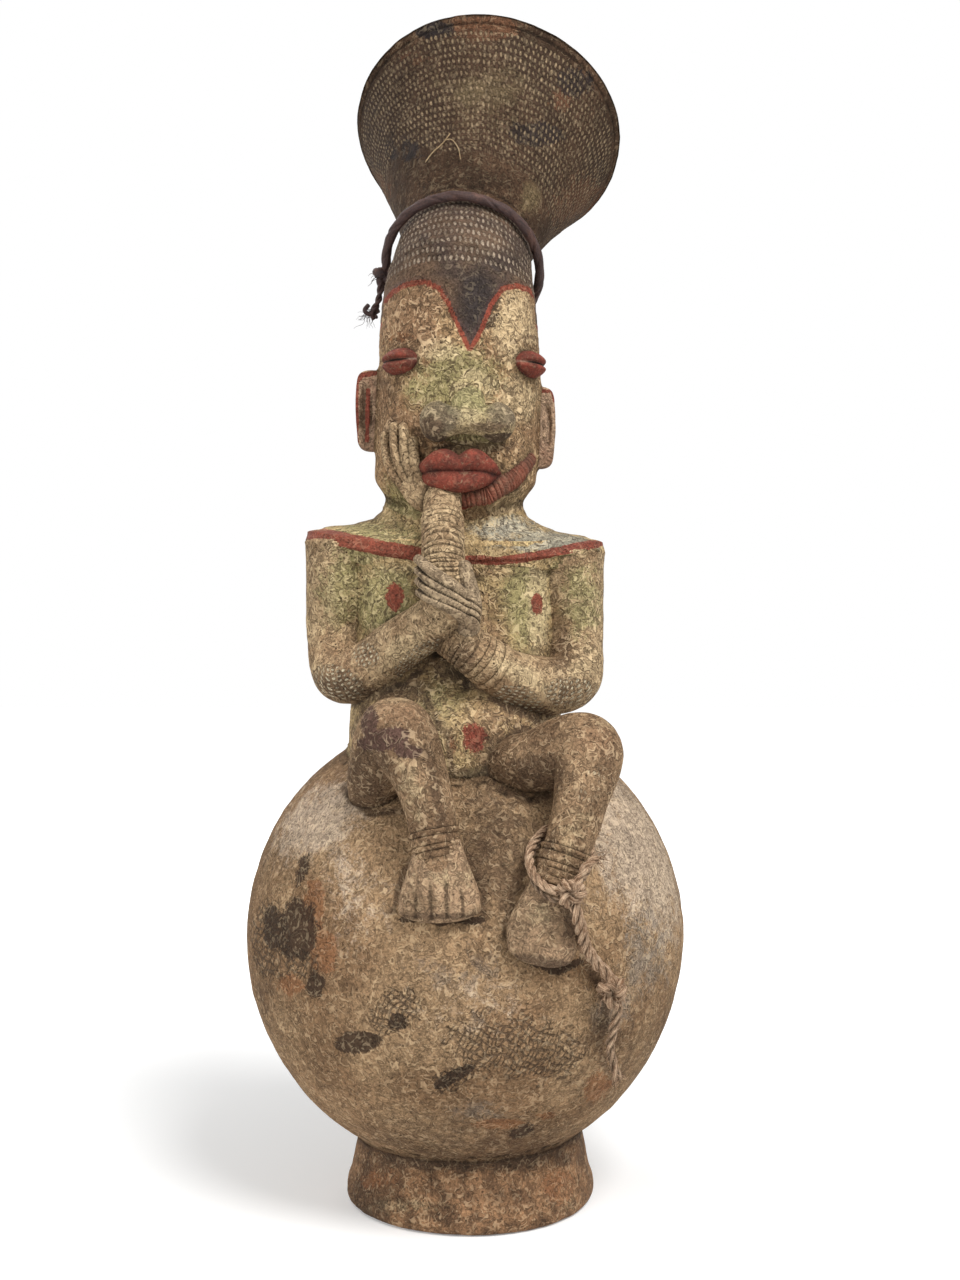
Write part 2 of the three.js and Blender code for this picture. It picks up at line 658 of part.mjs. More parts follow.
// A foot: a wedge that widens to five toes, lying on the jar.
function foot(side, grow = 0) {
  const { ankle } = legRoute(side);
  const toes = side < 0 ? overJar(-5, 13.2, 5.5) : overJar(16.6, 3.6, 5.5);
  const down = toes.clone().sub(ankle).normalize();
  const outward = toes.clone().sub(new THREE.Vector3(jarX, jarY, jarCentreZ)).normalize();
  const sideways = down.clone().cross(outward).normalize().negate();
  const at = (share, out, aside = 0) => ankle.clone().lerp(toes, share)
    .addScaledVector(outward, out).addScaledVector(sideways, aside);
  const slab = limb({
    points: [at(-0.1, 0), at(0.4, 0), at(0.88, 0)],
    sizes: [
      [ankleRadius + 0.5, ankleRadius - 2], [footHalfWidth - 2.5, footThickness * 0.55],
      [footHalfWidth - 1.5, footThickness * 0.42],
    ],
    across: sideways, sides: 10, steps: 2, grow, dome: 1,
  });
  const toeHalf = footHalfWidth / 5;
  const row = [-2, -1, 0, 1, 2].map((i) => limb({
    points: [at(0.5, 1.5, i * toeHalf * 1.55), at(0.94 - 0.02 * Math.abs(i), 0.5, i * toeHalf * 1.97)],
    sizes: [[toeHalf * 0.85, 4.5], [toeHalf, footThickness * 0.42]],
    across: sideways, sides: 6, steps: 1, grow, dome: 1,
  }));
  return joined([slab, ...row]);
}

// Leather thong, tied as a slack hoop round the waist

const waist = headFrame(1);
const waistUp = zAxis.clone().applyQuaternion(waist.turn);

// The hoop's middle line, in degrees round from the front, where it hangs on the figure's brow.
function hoopPoint(round) {
  const [front, back] = [thongFrontSlack, thongBackSlack].map((slack) => waistRadius + slack + thongRadius);
  const halfDepth = (front + back) / 2;
  const reach = halfDepth * (1 - Math.cos(round * degrees));
  const aside = (waistRadius + thongSlack + thongRadius) * Math.sin(round * degrees);
  const [sine, cosine] = [Math.sin(thongDroop * degrees), Math.cos(thongDroop * degrees)];
  const local = new THREE.Vector3(aside, reach * cosine - front, -reach * sine - thongLow);
  return local.applyQuaternion(waist.turn).add(waist.middle);
}

function thongHoop(grow = 0) {
  return closedRing((share) => hoopPoint(share * 360), waistUp, thongRadius + grow, 30);
}

const tieRound = 256;             // where the thong is tied, degrees round from the front

function thongKnot(grow = 0) {
  const middle = hoopPoint(tieRound);
  const along = hoopPoint(tieRound + 3).sub(middle).normalize();
  const out = middle.clone().sub(waist.middle).normalize();
  middle.add(out);
  return limb({
    points: [-4, 0, 4].map((shift) => middle.clone().addScaledVector(along, shift)),
    sizes: [[3.4, 3.4], [5, 5], [3.4, 3.4]],
    across: out, sides: 10, steps: 2, grow,
  });
}

function thongTail(grow = 0) {
  const start = hoopPoint(tieRound).add(new THREE.Vector3(-3.5, 0, -3));
  const drop = (x, z) => start.clone().add(new THREE.Vector3(x, 0.5, -z));
  return limb({
    points: [start, drop(-1, 8), drop(-3, 15), drop(-3.5, 22)],
    sizes: [[2.2, 1.8], [2.4, 1.6], [3, 1.8], [2, 1.4]],
    across: xAxis, sides: 8, steps: 2, grow,
  });
}

// Fibre rope tied round the left ankle. Its points are chosen by hand, as offsets from the ankle.

const leftAnkle = legRoute(1).ankle;
const fromAnkle = ([x, y, z]) => leftAnkle.clone().add(new THREE.Vector3(x, y, z));

const loopRoute = [
  [-3, -16, -10.5], [-11.5, -11, -6], [-15, -0.5, 3.5], [-9, 12.5, 12.5], [2, 20.5, 16.5],
  [13, 16.5, 12], [15, 5, 2], [8, -8, -7],
].map(fromAnkle);

function ankleLoop(grow = 0) {
  const curve = new THREE.CatmullRomCurve3(loopRoute, true);
  const up = new THREE.Vector3(0, -0.62, 0.78);
  return closedRing((share) => curve.getPoint(share), up, ankleLoopRadius + grow, 22);
}

const ropeRoute = [
  [6, -15.5, -17], [7.5, -15, -22], [9, -12, -28], [11, -7, -35], [13.5, -1, -42.5],
  [18.5, 4, -49.5], [24, 7, -56],
].map(fromAnkle);
const tipRoute = [
  [28.7, 9, -72], [28, 10, -78], [26.3, 12, -86.5], [25.4, 13, -93], [27, 14, -101], [29.6, 15, -109],
].map(fromAnkle);

function ropeAlong(route, radius, steps) {
  const path = new THREE.CatmullRomCurve3(route);
  const ring = new THREE.Shape().absarc(0, 0, radius, 0, 360 * degrees).getPoints(8).slice(0, 8);
  return solidOf(new THREE.ExtrudeGeometry(new THREE.Shape(ring), { steps, extrudePath: path }));
}

function knot(middle, radius, stretch, along) {
  const turn = new THREE.Quaternion().setFromUnitVectors(zAxis, along.clone().normalize());
  const ball = new THREE.SphereGeometry(radius, 10, 6).scale(1, 1, stretch);
  return solidOf(ball.applyQuaternion(turn).translate(...middle.toArray()));
}

// Assembly

const material = (colour, roughness = 0.9) => {
  return new THREE.MeshStandardMaterial({ color: colour, roughness, metalness: 0 });
};
const clay = material(0x8a7355);
const paleClay = material(0x94855c);
const darkClay = material(0x4c3b30);
const redPaint = material(0x7a3029);
const leather = material(0x4a2f26, 0.7);
const fibre = material(0x9a7a5c);

const object = new THREE.Group();
object.name = 'figural_clay_jar';

function add(name, solid, look) {
  const mesh = new THREE.Mesh(geometryOf(solid), look);
  mesh.name = name;
  object.add(mesh);
}

const base = [jarBall(seam), torsoOuter(seam), shelfOuter(seam), headOuter(seam)];
const seated = (solid, tools) => largest(cutBy(solid, [...base, ...tools]));

add('foot_ring', footRing(), clay);
add('jar_globe', jar(), clay);
add('torso', torso(), paleClay);
add('shoulder_shelf', shoulderShelf(), paleClay);
add('head', head(), paleClay);
add('coiffure', coiffure(), darkClay);

add('right_ear', ear(-1, 0.435, rightEarReach), clay);
add('left_ear', ear(1, 0.38, leftEarReach), clay);
add('right_eye', eye(-1), redPaint);
add('left_eye', eye(1), redPaint);
add('nose', nose(), paleClay);
add('upper_lip', seated(upperLip(), [rightHand(seam), nose().subtract(throat())]), redPaint);
add('lower_lip', seated(lowerLip(), [upperLip(seam), rightHand(seam), rightArm(seam)]), redPaint);
add('jaw_band', jawBand(), redPaint);

add('right_arm', seated(rightArm(), []), clay);
add('left_arm', seated(leftArm(), [rightArm(seam)]), clay);
add('right_hand', seated(rightHand(), [rightArm(seam)]), paleClay);
add('left_hand', seated(leftHand(), [rightArm(seam), leftArm(seam)]), clay);

for (const [name, side] of [['right', -1], ['left', 1]]) {
  add(name + '_leg', seated(leg(side), [rightArm(seam), leftArm(seam)]), clay);
  add(name + '_foot', seated(foot(side), [leg(side, seam)]), clay);
}

add('thong_hoop', thongHoop(), leather);
add('thong_knot', largest(cutBy(thongKnot(), [thongHoop(seam), headOuter(seam)])), leather);
add('thong_tail', largest(cutBy(thongTail(), [thongHoop(seam), thongKnot(seam), headOuter(seam)])), leather);

const ropeTools = [leg(1, seam), foot(1, seam), jarBall(seam)];
const ropeStart = ropeRoute[0].clone().sub(ropeRoute[1]).normalize();
const ankleKnotAt = ropeRoute[0].clone().addScaledVector(ropeStart, 5.7);
const tailKnotEnds = [ropeRoute[ropeRoute.length - 1], tipRoute[0]];
const tailKnotAt = tailKnotEnds[0].clone().lerp(tailKnotEnds[1], 0.5);
const tailKnotStretch = (tailKnotEnds[0].distanceTo(tailKnotEnds[1]) / 2 - seam) / 6.2;
add('ankle_loop', largest(cutBy(ankleLoop(), ropeTools)), fibre);
const ankleKnot = cutBy(knot(ankleKnotAt, 5.6, 1, ropeStart), [ankleLoop(seam), ...ropeTools]);
add('ankle_knot', largest(ankleKnot), fibre);
add('rope_tail', ropeAlong(ropeRoute, ropeRadius, 14), fibre);
add('tail_knot', knot(tailKnotAt, 6.2, tailKnotStretch, zAxis), fibre);
add('rope_tip', ropeAlong(tipRoute, ropeRadius * 0.7, 12), fibre);

export default object;
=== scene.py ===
"""Figural clay jar: a seated figure on a round jar, dressed for rendering.

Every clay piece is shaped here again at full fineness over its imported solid, with the potter's
luting, finger marks, cord rolling and wear, and then painted with procedural earth colours.
Lengths inside the shaping functions are millimetres; meshes are written in metres.
"""
import math

import bmesh
import bpy
import numpy as np
from bpy.props import FloatProperty, FloatVectorProperty, IntProperty, PointerProperty
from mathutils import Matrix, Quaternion, Vector
from mathutils.bvhtree import BVHTree


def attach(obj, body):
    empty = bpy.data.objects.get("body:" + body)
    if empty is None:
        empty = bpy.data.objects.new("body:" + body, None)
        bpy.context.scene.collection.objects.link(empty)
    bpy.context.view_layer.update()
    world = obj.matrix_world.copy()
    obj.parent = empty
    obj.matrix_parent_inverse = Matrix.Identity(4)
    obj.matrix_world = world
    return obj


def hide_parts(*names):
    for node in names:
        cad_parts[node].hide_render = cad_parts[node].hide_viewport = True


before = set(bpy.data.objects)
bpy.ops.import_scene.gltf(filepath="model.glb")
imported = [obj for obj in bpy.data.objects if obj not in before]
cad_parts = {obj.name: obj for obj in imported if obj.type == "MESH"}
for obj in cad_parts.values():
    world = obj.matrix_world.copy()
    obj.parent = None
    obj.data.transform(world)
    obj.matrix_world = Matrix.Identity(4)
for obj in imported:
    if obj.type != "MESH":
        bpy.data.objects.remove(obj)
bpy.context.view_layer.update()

bl_info = {
    "name": "Figural clay jar",
    "version": (1, 0, 0),
    "blender": (4, 5, 0),
    "location": "View3D > Sidebar > Clay jar",
    "description": "Builds a hand-built figural jar with its leather hoop and fibre rope",
    "category": "Add Mesh",
}

MM = 0.001

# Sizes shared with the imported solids, in millimetres

FOOT_HEIGHT, FOOT_BASE, FOOT_TOP, FOOT_WALL, FOOT_X = 38, 68, 62, 13, 1.3
JAR_RADIUS, JAR_LOWER, JAR_WALL, JAR_X, JAR_Y = 121, 126, 9, -1.6, -4.5
MOUTH_RADIUS, NECK_BORE = 43, 32
FIGURE_X, FIGURE_Y = -7, JAR_Y - 8
TORSO_HEIGHT, HIP_HALF, BELLY_FRONT = 86, 59, 72
CHEST_HALF, CHEST_FRONT, TORSO_BACK = 53, 44, 46
SHELF_HALF, SHELF_FRONT, SHELF_BACK = 81.5, 46, 40
SHELF_THICK, SHELF_SAG, SHELF_SLOPE = 17, 9, 3
NECK_RADIUS, FACE_HALF, FACE_FRONT, HEAD_BACK = 38.3, 44.8, 47, 43.5
HEAD_LENGTH, HEAD_WALL, BEND_START, WAIST_RADIUS = 170, 8, 0.66, 38.5
COIFFURE_TILT, COIFFURE_LEAN, FACE_TURN = 37, 8.5, 6.5
COIFFURE_LENGTH, COIFFURE_RADIUS, COIFFURE_WALL, COIFFURE_THROAT = 113, 81.5, 6.5, 0.09
ARM_RADIUS, WRIST_RADIUS, UPPER_ARM = 14, 10.5, 19
THIGH_RADIUS, KNEE_RADIUS, SHIN_RADIUS, ANKLE_RADIUS = 15, 18, 13.2, 10.7
FOOT_HALF, FOOT_THICK = 18.5, 14
JAR_Z = FOOT_HEIGHT + JAR_LOWER * math.sqrt(1 - (FOOT_TOP / JAR_RADIUS) ** 2)
SEAT_Z = JAR_Z + JAR_RADIUS
SHELF_Z = SEAT_Z + TORSO_HEIGHT
NECK_Z = SHELF_Z + SHELF_THICK * 0.45

# The photograph's camera: level, a little above the jar's widest line

EYE = np.array([6.7, -850.5, 308.0])
EYE_REACH = 1511.0
EYE_MIDDLE = (480.0, 640.0)

X_AXIS, Y_AXIS, Z_AXIS = np.eye(3)


# Curves, rolls of clay and skins

def unit(v):
    return v / np.linalg.norm(v)


def smooth(value, low, high):
    t = np.clip((value - low) / (high - low), 0, 1)
    return t * t * (3 - 2 * t)


def eased(rows, share):
    """The values at one share, eased between rows of (share, value, value...)."""
    after = next((i for i, row in enumerate(rows) if i and row[0] >= share), len(rows) - 1)
    low, high = np.array(rows[after - 1], float), np.array(rows[after], float)
    t = float(np.clip((share - low[0]) / (high[0] - low[0]), 0, 1))
    blend = (t * t * t * (t * (t * 6 - 15) + 10) + t) / 2
    return low[1:] + (high[1:] - low[1:]) * blend


def along_curve(points, share, closed=False):
    """A point at a share of a centripetal curve through points."""
    points = np.asarray(points, float)
    count = len(points)
    place = (count if closed else count - 1) * share
    i = int(math.floor(place))
    if closed:
        i %= count
    elif i >= count - 1:
        i = count - 2
    elif i < 0:
        i = 0
    t = place - (i if not closed else math.floor(place))
    here, onward = points[i], points[(i + 1) % count]
    before = points[i - 1] if (closed or i > 0) else 2 * points[0] - points[1]
    last = points[(i + 2) % count] if (closed or i + 2 < count) else 2 * points[-1] - points[-2]
    gaps = [max(np.linalg.norm(b - a) ** 0.5, 1e-4)
            for a, b in ((before, here), (here, onward), (onward, last))]
    d0, d1, d2 = gaps
    out = ((here - before) / d0 - (onward - before) / (d0 + d1) + (onward - here) / d1) * d1
    into = ((onward - here) / d1 - (last - here) / (d1 + d2) + (last - onward) / d2) * d1
    return (here + out * t + (3 * (onward - here) - 2 * out - into) * t ** 2
            + (2 * (here - onward) + out + into) * t ** 3)


def heading(points, share):
    low, high = max(share - 1e-4, 0), min(share + 1e-4, 1)
    return unit(along_curve(points, high) - along_curve(points, low))


DOME_RINGS = 7


def roll(points, sizes, across, sides, steps, swell=None):
    """Rings of an oval, tapered roll of clay with rounded ends; swell adds height at a share."""
    across = np.asarray(across, float)
    sizes = np.array([[a, b, 0] for a, b in sizes], float)

    def ring(share, shift=0.0, scale=1.0):
        way = heading(points, share)
        middle = along_curve(points, share) + way * shift
        u = unit(across - way * across.dot(way))
        v = np.cross(way, u)
        wide, deep = along_curve(sizes, share)[:2] * scale
        more = swell(share) if swell else 0.0
        angle = (np.arange(sides) + 0.5) / sides * 2 * math.pi
        return (middle + np.outer(np.cos(angle) * (wide + more), u)
                + np.outer(np.sin(angle) * (deep + more), v))

    rings = [ring(i / steps) for i in range(steps + 1)]
    for k in range(1, DOME_RINGS + 1):
        angle = k / (DOME_RINGS + 0.3) * math.pi / 2
        for end, size in ((0, sizes[0]), (1, sizes[-1])):
            reach = min(size[:2]) * math.sin(angle)
            made = ring(end, reach if end else -reach, math.cos(angle))
            rings.append(made) if end else rings.insert(0, made)
    return np.array(rings)


def ridges(low, high, count, height):
    """Raised rings between two shares of a roll."""
    def swell(share):
        if not low < share < high:
            return 0.0
        turn = (share - low) / (high - low) * count
        turn += 0.14 * math.sin(turn * 2.3)
        return height * abs(math.sin(math.pi * turn)) ** 0.55
    return swell


def skin(name, rings, rows=None):
    """A closed mesh rolled up from a grid, one grid row to each ring; the grid keeps its UV map."""
    rings = np.asarray(rings, float)
    total, count = rings.shape[:2]
    rows = np.linspace(0, 1, total) if rows is None else np.asarray(rows, float)
    bm = bmesh.new()
    bmesh.ops.create_grid(bm, x_segments=count, y_segments=total - 1, size=1)
    me = bpy.data.meshes.new(name)
    bm.to_mesh(me)
    bm.free()
    flat = np.empty(len(me.vertices) * 3, np.float32)
    me.vertices.foreach_get("co", flat)
    flat = flat.reshape(-1, 3)
    i = np.rint((flat[:, 0] + 1) / 2 * count).astype(int)
    j = np.rint((flat[:, 1] + 1) / 2 * (total - 1)).astype(int)
    me.vertices.foreach_set("co", (rings[j, i % count] * MM).astype(np.float32).ravel())
    corner = np.empty(len(me.loops), np.int32)
    me.loops.foreach_get("vertex_index", corner)
    me.uv_layers.new(name="rows")
    uv = np.stack([i[corner] / count, rows[j[corner]]], 1).astype(np.float32)
    me.uv_layers["rows"].data.foreach_set("uv", uv.ravel())
    bm = bmesh.new()
    bm.from_mesh(me)
    bmesh.ops.remove_doubles(bm, verts=bm.verts, dist=2e-6)
    bmesh.ops.holes_fill(bm, edges=[e for e in bm.edges if e.is_boundary], sides=0)
    bmesh.ops.recalc_face_normals(bm, faces=bm.faces)
    bm.to_mesh(me)
    bm.free()
    return new_object(name, me)


def new_object(name, me):
    obj = bpy.data.objects.new(name, me)
    bpy.context.scene.collection.objects.link(obj)
    me.polygons.foreach_set("use_smooth", np.ones(len(me.polygons), bool))
    return obj


def places(obj):
    """The mesh's points, in millimetres."""
    co = np.empty(len(obj.data.vertices) * 3, np.float32)
    obj.data.vertices.foreach_get("co", co)
    return co.reshape(-1, 3).astype(float) / MM


def normals(obj):
    out = np.empty(len(obj.data.vertices) * 3, np.float32)
    obj.data.vertex_normals.foreach_get("vector", out)
    return out.reshape(-1, 3).astype(float)


def put(obj, points):
    obj.data.vertices.foreach_set("co", (points * MM).astype(np.float32).ravel())
    obj.data.update()


def finished(obj, *modifiers):
    """Applies modifiers given as (kind, {setting: value}) and keeps the object's name."""
    for kind, settings in modifiers:
        made = obj.modifiers.new(kind.lower(), kind)
        for key, value in settings.items():
            setattr(made, key, value)
    graph = bpy.context.evaluated_depsgraph_get()
    me = bpy.data.meshes.new_from_object(obj.evaluated_get(graph))
    old = obj.data
    obj.modifiers.clear()
    obj.data = me
    me.name = obj.name
    bpy.data.meshes.remove(old)
    me.polygons.foreach_set("use_smooth", np.ones(len(me.polygons), bool))
    return obj


def gathered(name, objects):
    """Several objects' meshes as one piece."""
    bm = bmesh.new()
    for obj in objects:
        bm.from_mesh(obj.data)
    me = bpy.data.meshes.new(name)
    bm.to_mesh(me)
    bm.free()
    for obj in objects:
        old = obj.data
        bpy.data.objects.remove(obj)
        bpy.data.meshes.remove(old)
    return new_object(name, me)


def pressed_together(name, parts, voxel, rounds):
    """Several rolls worked into one piece of clay."""
    return finished(
        gathered(name, parts),
        ("REMESH", {"mode": "VOXEL", "voxel_size": voxel * MM, "use_smooth_shade": True}),
        ("SMOOTH", {"factor": 0.5, "iterations": rounds}),
    )


# The hand's unevenness, luting and stains

def cloudy(points, size, seed):
    """Soft noise from -1 to 1 whose lumps are about size millimetres across."""
    grid = points / size + seed * 17.31
    low = np.floor(grid)
    part = grid - low
    part = part * part * (3 - 2 * part)
    total = np.zeros(len(points))
    for corner in range(8):
        step = np.array([corner & 1, corner >> 1 & 1, corner >> 2 & 1])
        weight = np.prod(np.where(step, part, 1 - part), axis=1)
        hashed = np.sin((low + step) @ np.array([127.1, 311.7, 74.7]) + seed * 5.1) * 43758.5453
        total += weight * (hashed - np.floor(hashed))
    return total * 2 - 1


def uneven(obj, wide, fine):
    """Hand-built: broad dents about 35 mm across and small finger marks of about 7 mm."""
    p = places(obj)
    lift = wide * cloudy(p, 34, 2) * 0.5 + fine * cloudy(p, 7.5, 5)
    lift = lift + fine * 0.5 * cloudy(p, 3.2, 7)
    put(obj, p + normals(obj) * lift[:, None])


TREES = {}


def tree_of(obj):
    """The piece's search tree, made once and kept."""
    if obj.name not in TREES:
        faces = [tuple(p.vertices) for p in obj.data.polygons]
        TREES[obj.name] = BVHTree.FromPolygons([v.co.copy() for v in obj.data.vertices], faces)
    return TREES[obj.name]


def distances(obj, others, reach):
    """How far each point is from the nearest other piece, up to reach, in millimetres."""
    p = places(obj)
    out = np.full(len(p), float(reach))
    for other in others:
        tree, q = tree_of(other), places(other)
        near = np.all((p > q.min(0) - reach) & (p < q.max(0) + reach), axis=1)
        for i in np.nonzero(near)[0]:
            hit = tree.find_nearest(p[i] * MM, float(out[i]) * MM)
            if hit[0] is not None:
                out[i] = hit[3] / MM
    return out


def luted(obj, others, reach):
    """Thickens the clay towards a joint, as a thumb smears it, and keeps a mask of the crease."""
    gap = distances(obj, others, max(reach, 9.0))
    short = np.clip(1 - gap / reach, 0, 1)
    lift = reach * (1 - np.sqrt(1 - short ** 2)) * 0.3
    p = places(obj)
    put(obj, p + normals(obj) * lift[:, None])
    # The crease mask darkens the colour near joints: painted shade, partly dirt.
    mark(obj, "crease", np.maximum(0.85 * np.clip(1 - gap / 2.8, 0, 1) ** 0.8,
                                   0.45 * np.clip(1 - gap / 8, 0, 1) ** 1.5))


def relief(obj, rounds=9):
    """Marks hollows below 0 and worn ridges above 0, by how far the skin lies off its smoothed self."""
    me, p, n = obj.data, places(obj), normals(obj)
    ends = np.empty(len(me.edges) * 2, np.int32)
    me.edges.foreach_get("vertices", ends)
    a, b = ends.reshape(-1, 2).T
    total = len(p)
    near = np.maximum(np.bincount(a, minlength=total) + np.bincount(b, minlength=total), 1)[:, None]
    q = p.copy()
    for _ in range(rounds):
        around = np.stack([np.bincount(a, q[b, k], total) + np.bincount(b, q[a, k], total)
                           for k in range(3)], 1)
        q = (q + around / near) / 2
    out = ((p - q) * n).sum(1)
    mark(obj, "relief", smooth(out, 0.16, 0.5) - smooth(-out, 0.025, 0.2))


def hollowed(obj, line, low, high):
    """Marks what lies near a line as a hollow, which the fibre's colour darkens as painted shade, so that the
    lay of the strands reads.
    """
    p = places(obj)
    far = np.min([((p - q) ** 2).sum(1) for q in line], 0)
    mark(obj, "relief", smooth(np.sqrt(far), low, high) - 1)


def grooved(obj, depth):
    """Presses the skin in by an amount for each point."""
    put(obj, places(obj) - normals(obj) * np.asarray(depth)[:, None])


def mark(obj, name, values):
    """Keeps a value for each point of the mesh, for the materials to read."""
    layer = obj.data.attributes.get(name) or obj.data.attributes.new(name, "FLOAT", "POINT")
    layer.data.foreach_set("value", np.asarray(values, np.float32))


def marked(obj, name):
    """A value that was kept for each point of the mesh."""
    values = np.empty(len(obj.data.vertices), np.float32)
    obj.data.attributes[name].data.foreach_get("value", values)
    return values


def on_picture(points):
    """Where points fall in the photograph's frame of 960 by 1280."""
    depth = points[:, 1] - EYE[1]
    across = EYE_MIDDLE[0] + (points[:, 0] - EYE[0]) / depth * EYE_REACH
    down = EYE_MIDDLE[1] - (points[:, 2] - EYE[2]) / depth * EYE_REACH
    return np.stack([across, down], 1)


def facing(obj, low=-0.05, high=0.2):
    """1 where the surface faces the front, 0 where it turns away."""
    away = EYE - places(obj)
    away /= np.linalg.norm(away, axis=1)[:, None]
    return smooth((away * normals(obj)).sum(1), low, high)


def near_line(points, line, width, soft, strength=1.0):
    """Its strength on a line through picture places, falling to 0 at its width plus a soft edge."""
    best = np.full(len(points), 1e9)
    line = np.asarray(line, float)
    for a, b in zip(line[:-1], line[1:]):
        run = b - a
        t = np.clip(((points - a) @ run) / max(run @ run, 1e-9), 0, 1)
        best = np.minimum(best, np.linalg.norm(points - a - t[:, None] * run, axis=1))
    return strength * (1 - smooth(best, width / 2 - soft / 2, width / 2 + soft / 2))


def in_spot(points, x, y, half_wide, half_high, strength=1.0, soft=0.8, turn=0):
    """Its strength inside an oval at a picture place, with a soft edge as a share of its size."""
    c, s = math.cos(math.radians(turn)), math.sin(math.radians(turn))
    dx, dy = points[:, 0] - x, points[:, 1] - y
    far = np.hypot((dx * c + dy * s) / half_wide, (dy * c - dx * s) / half_high)
    return strength * (1 - smooth(far, 1 - soft, 1 + soft))


def covered(seen, shapes):
    """The strongest of some spots and lines at each picture place; a line starts with its points."""
    total = np.zeros(len(seen))
    for shape in shapes:
        made = near_line if isinstance(shape[0], list) else in_spot
        total = np.maximum(total, made(seen, *shape))
    return total


STAINS = ("red", "soot", "slate", "green", "rust", "cream", "bare", "shade")


def stained(obj, **stains):
    """Stains and painted shade by colour name: each a list of spots and lines as covered() takes them."""
    seen = on_picture(places(obj))
    front = facing(obj)
    for name in STAINS:
        total = covered(seen, stains.get(name, ()))
        if "all_round" in stains and name in stains["all_round"]:
            p = places(obj)
            share, size, seed = stains["all_round"][name]
            patch = smooth(cloudy(p, size, seed), 1 - 2 * share, 1 - 2 * share + 0.35)
            total = np.maximum(total * front, patch * (1 - 0.85 * front))
        else:
            total = total * front
        mark(obj, name, total)


# Forms of the figure

def over_jar(round_, up, out):
    a, e = math.radians(round_), math.radians(up)
    reach = math.cos(e) * (JAR_RADIUS + out)
    rise = math.sin(e) * ((JAR_LOWER if e < 0 else JAR_RADIUS) + out)
    return np.array([JAR_X + math.sin(a) * reach, JAR_Y - math.cos(a) * reach, JAR_Z + rise])


def at_figure(x, y, share):
    return np.array([FIGURE_X + x, FIGURE_Y + y, SEAT_Z + share * TORSO_HEIGHT])


def level_ring(z, half, front, back, square, count):
    angle = np.arange(count) / count * 2 * math.pi
    def even(v):
        return np.sign(v) * np.abs(v) ** (2 / square)
    x, y = even(np.cos(angle)), even(np.sin(angle))
    deep = np.where(y < 0, front, back)
    return np.stack([FIGURE_X + half * x, FIGURE_Y + deep * y, np.full(count, z)], 1)


WAIST_TURN = Quaternion((0, 1, 0), math.radians(COIFFURE_LEAN)) @ Quaternion(
    (1, 0, 0), math.radians(-COIFFURE_TILT))


def head_turn(share):
    bend = float(smooth(share, BEND_START, 1))
    return Quaternion().slerp(WAIST_TURN, bend)


def head_frame(share, pieces=24):
    middle = Vector((FIGURE_X - 1.5, FIGURE_Y, NECK_Z))
    for i in range(pieces):
        part = (i + 0.5) / pieces * share
        up = head_turn(part) @ Vector((0.042 if part < 0.55 else -0.01, 0, 1))
        middle += up.normalized() * (HEAD_LENGTH * share / pieces)
    return np.array(middle), np.array(head_turn(share).to_matrix())


def head_ring(share, rounds, out=0.0):
    """Points on the head at one share of its length, for an array of degrees from the face."""
    middle, turn = head_frame(share)
    rounds = np.asarray(rounds, float)
    narrowing = min(max((share - 0.5) / 0.5, 0), 1) ** 1.8
    angle = np.radians(rounds + FACE_TURN)
    ahead = np.cos(angle)
    jaw = 0.085 + 0.055 * (1 - np.cos(np.radians(rounds)))
    face = smooth(share, jaw, jaw + 0.075)
    half = NECK_RADIUS + (FACE_HALF - NECK_RADIUS) * face
    front = NECK_RADIUS - 1 + (FACE_FRONT - NECK_RADIUS + 1) * face
    back = NECK_RADIUS + (HEAD_BACK - NECK_RADIUS) * face
    deep = np.where(ahead > 0, front, back)
    rx = half + (WAIST_RADIUS - half) * narrowing + out
    ry = deep + (WAIST_RADIUS - deep) * narrowing + out
    flat = np.stack([rx * np.sin(angle), -ry * ahead, np.zeros_like(angle)], 1)
    return flat @ turn.T + middle


def on_head(share, round_, out=0.0):
    return head_ring(share, [round_], out)[0]


def coiffure_radius(share):
    t = max(0.0, (share - COIFFURE_THROAT) / (1 - COIFFURE_THROAT))
    return WAIST_RADIUS + (COIFFURE_RADIUS - WAIST_RADIUS) * (0.65 * t + 0.35 * t ** 1.7)


def round_rings(profile, count, x=0.0, y=0.0):
    """Rings about +Z from (radius, height) pairs."""
    angle = np.arange(count) / count * 2 * math.pi + math.pi / 2
    return np.array([np.stack([x + r * np.cos(angle), y + r * np.sin(angle),
                               np.full(count, float(z))], 1) for r, z in profile])


def throat_radius(z):
    rows = [(SEAT_Z - 40, MOUTH_RADIUS), (SEAT_Z, MOUTH_RADIUS),
            (SEAT_Z + TORSO_HEIGHT * 0.55, (MOUTH_RADIUS * 2 + NECK_BORE) / 3),
            (SHELF_Z - 6, NECK_BORE), (SHELF_Z + 60, NECK_BORE)]
    return float(np.interp(z, [r[0] for r in rows], [r[1] for r in rows]))


# Materials

# The node trees being wired, the innermost last
WIRED = []


def add(kind, inputs=None, **settings):
    """A node with its settings and inputs; an input may be a value or another node's socket."""
    tree = WIRED[-1]
    node = tree.nodes.new("ShaderNode" + kind)
    for key, value in settings.items():
        setattr(node, key, value)
    for key, value in (inputs or {}).items():
        socket = node.inputs[key]
        if isinstance(value, bpy.types.NodeSocket):
            tree.links.new(value, socket)
        else:
            socket.default_value = (*value, 1.0) if socket.type == "RGBA" else value
    return node


def maths(operation, a, b=0.0, c=0.0, clamp=False):
    node = add("Math", {0: a, 1: b, 2: c}, operation=operation, use_clamp=clamp)
    return node.outputs[0]


def plus(a, b):
    return maths("ADD", a, b)


def minus(a, b):
    return maths("SUBTRACT", a, b)


def times(a, b, clamp=False):
    return maths("MULTIPLY", a, b, clamp=clamp)


def most(a, b):
    return maths("MAXIMUM", a, b)


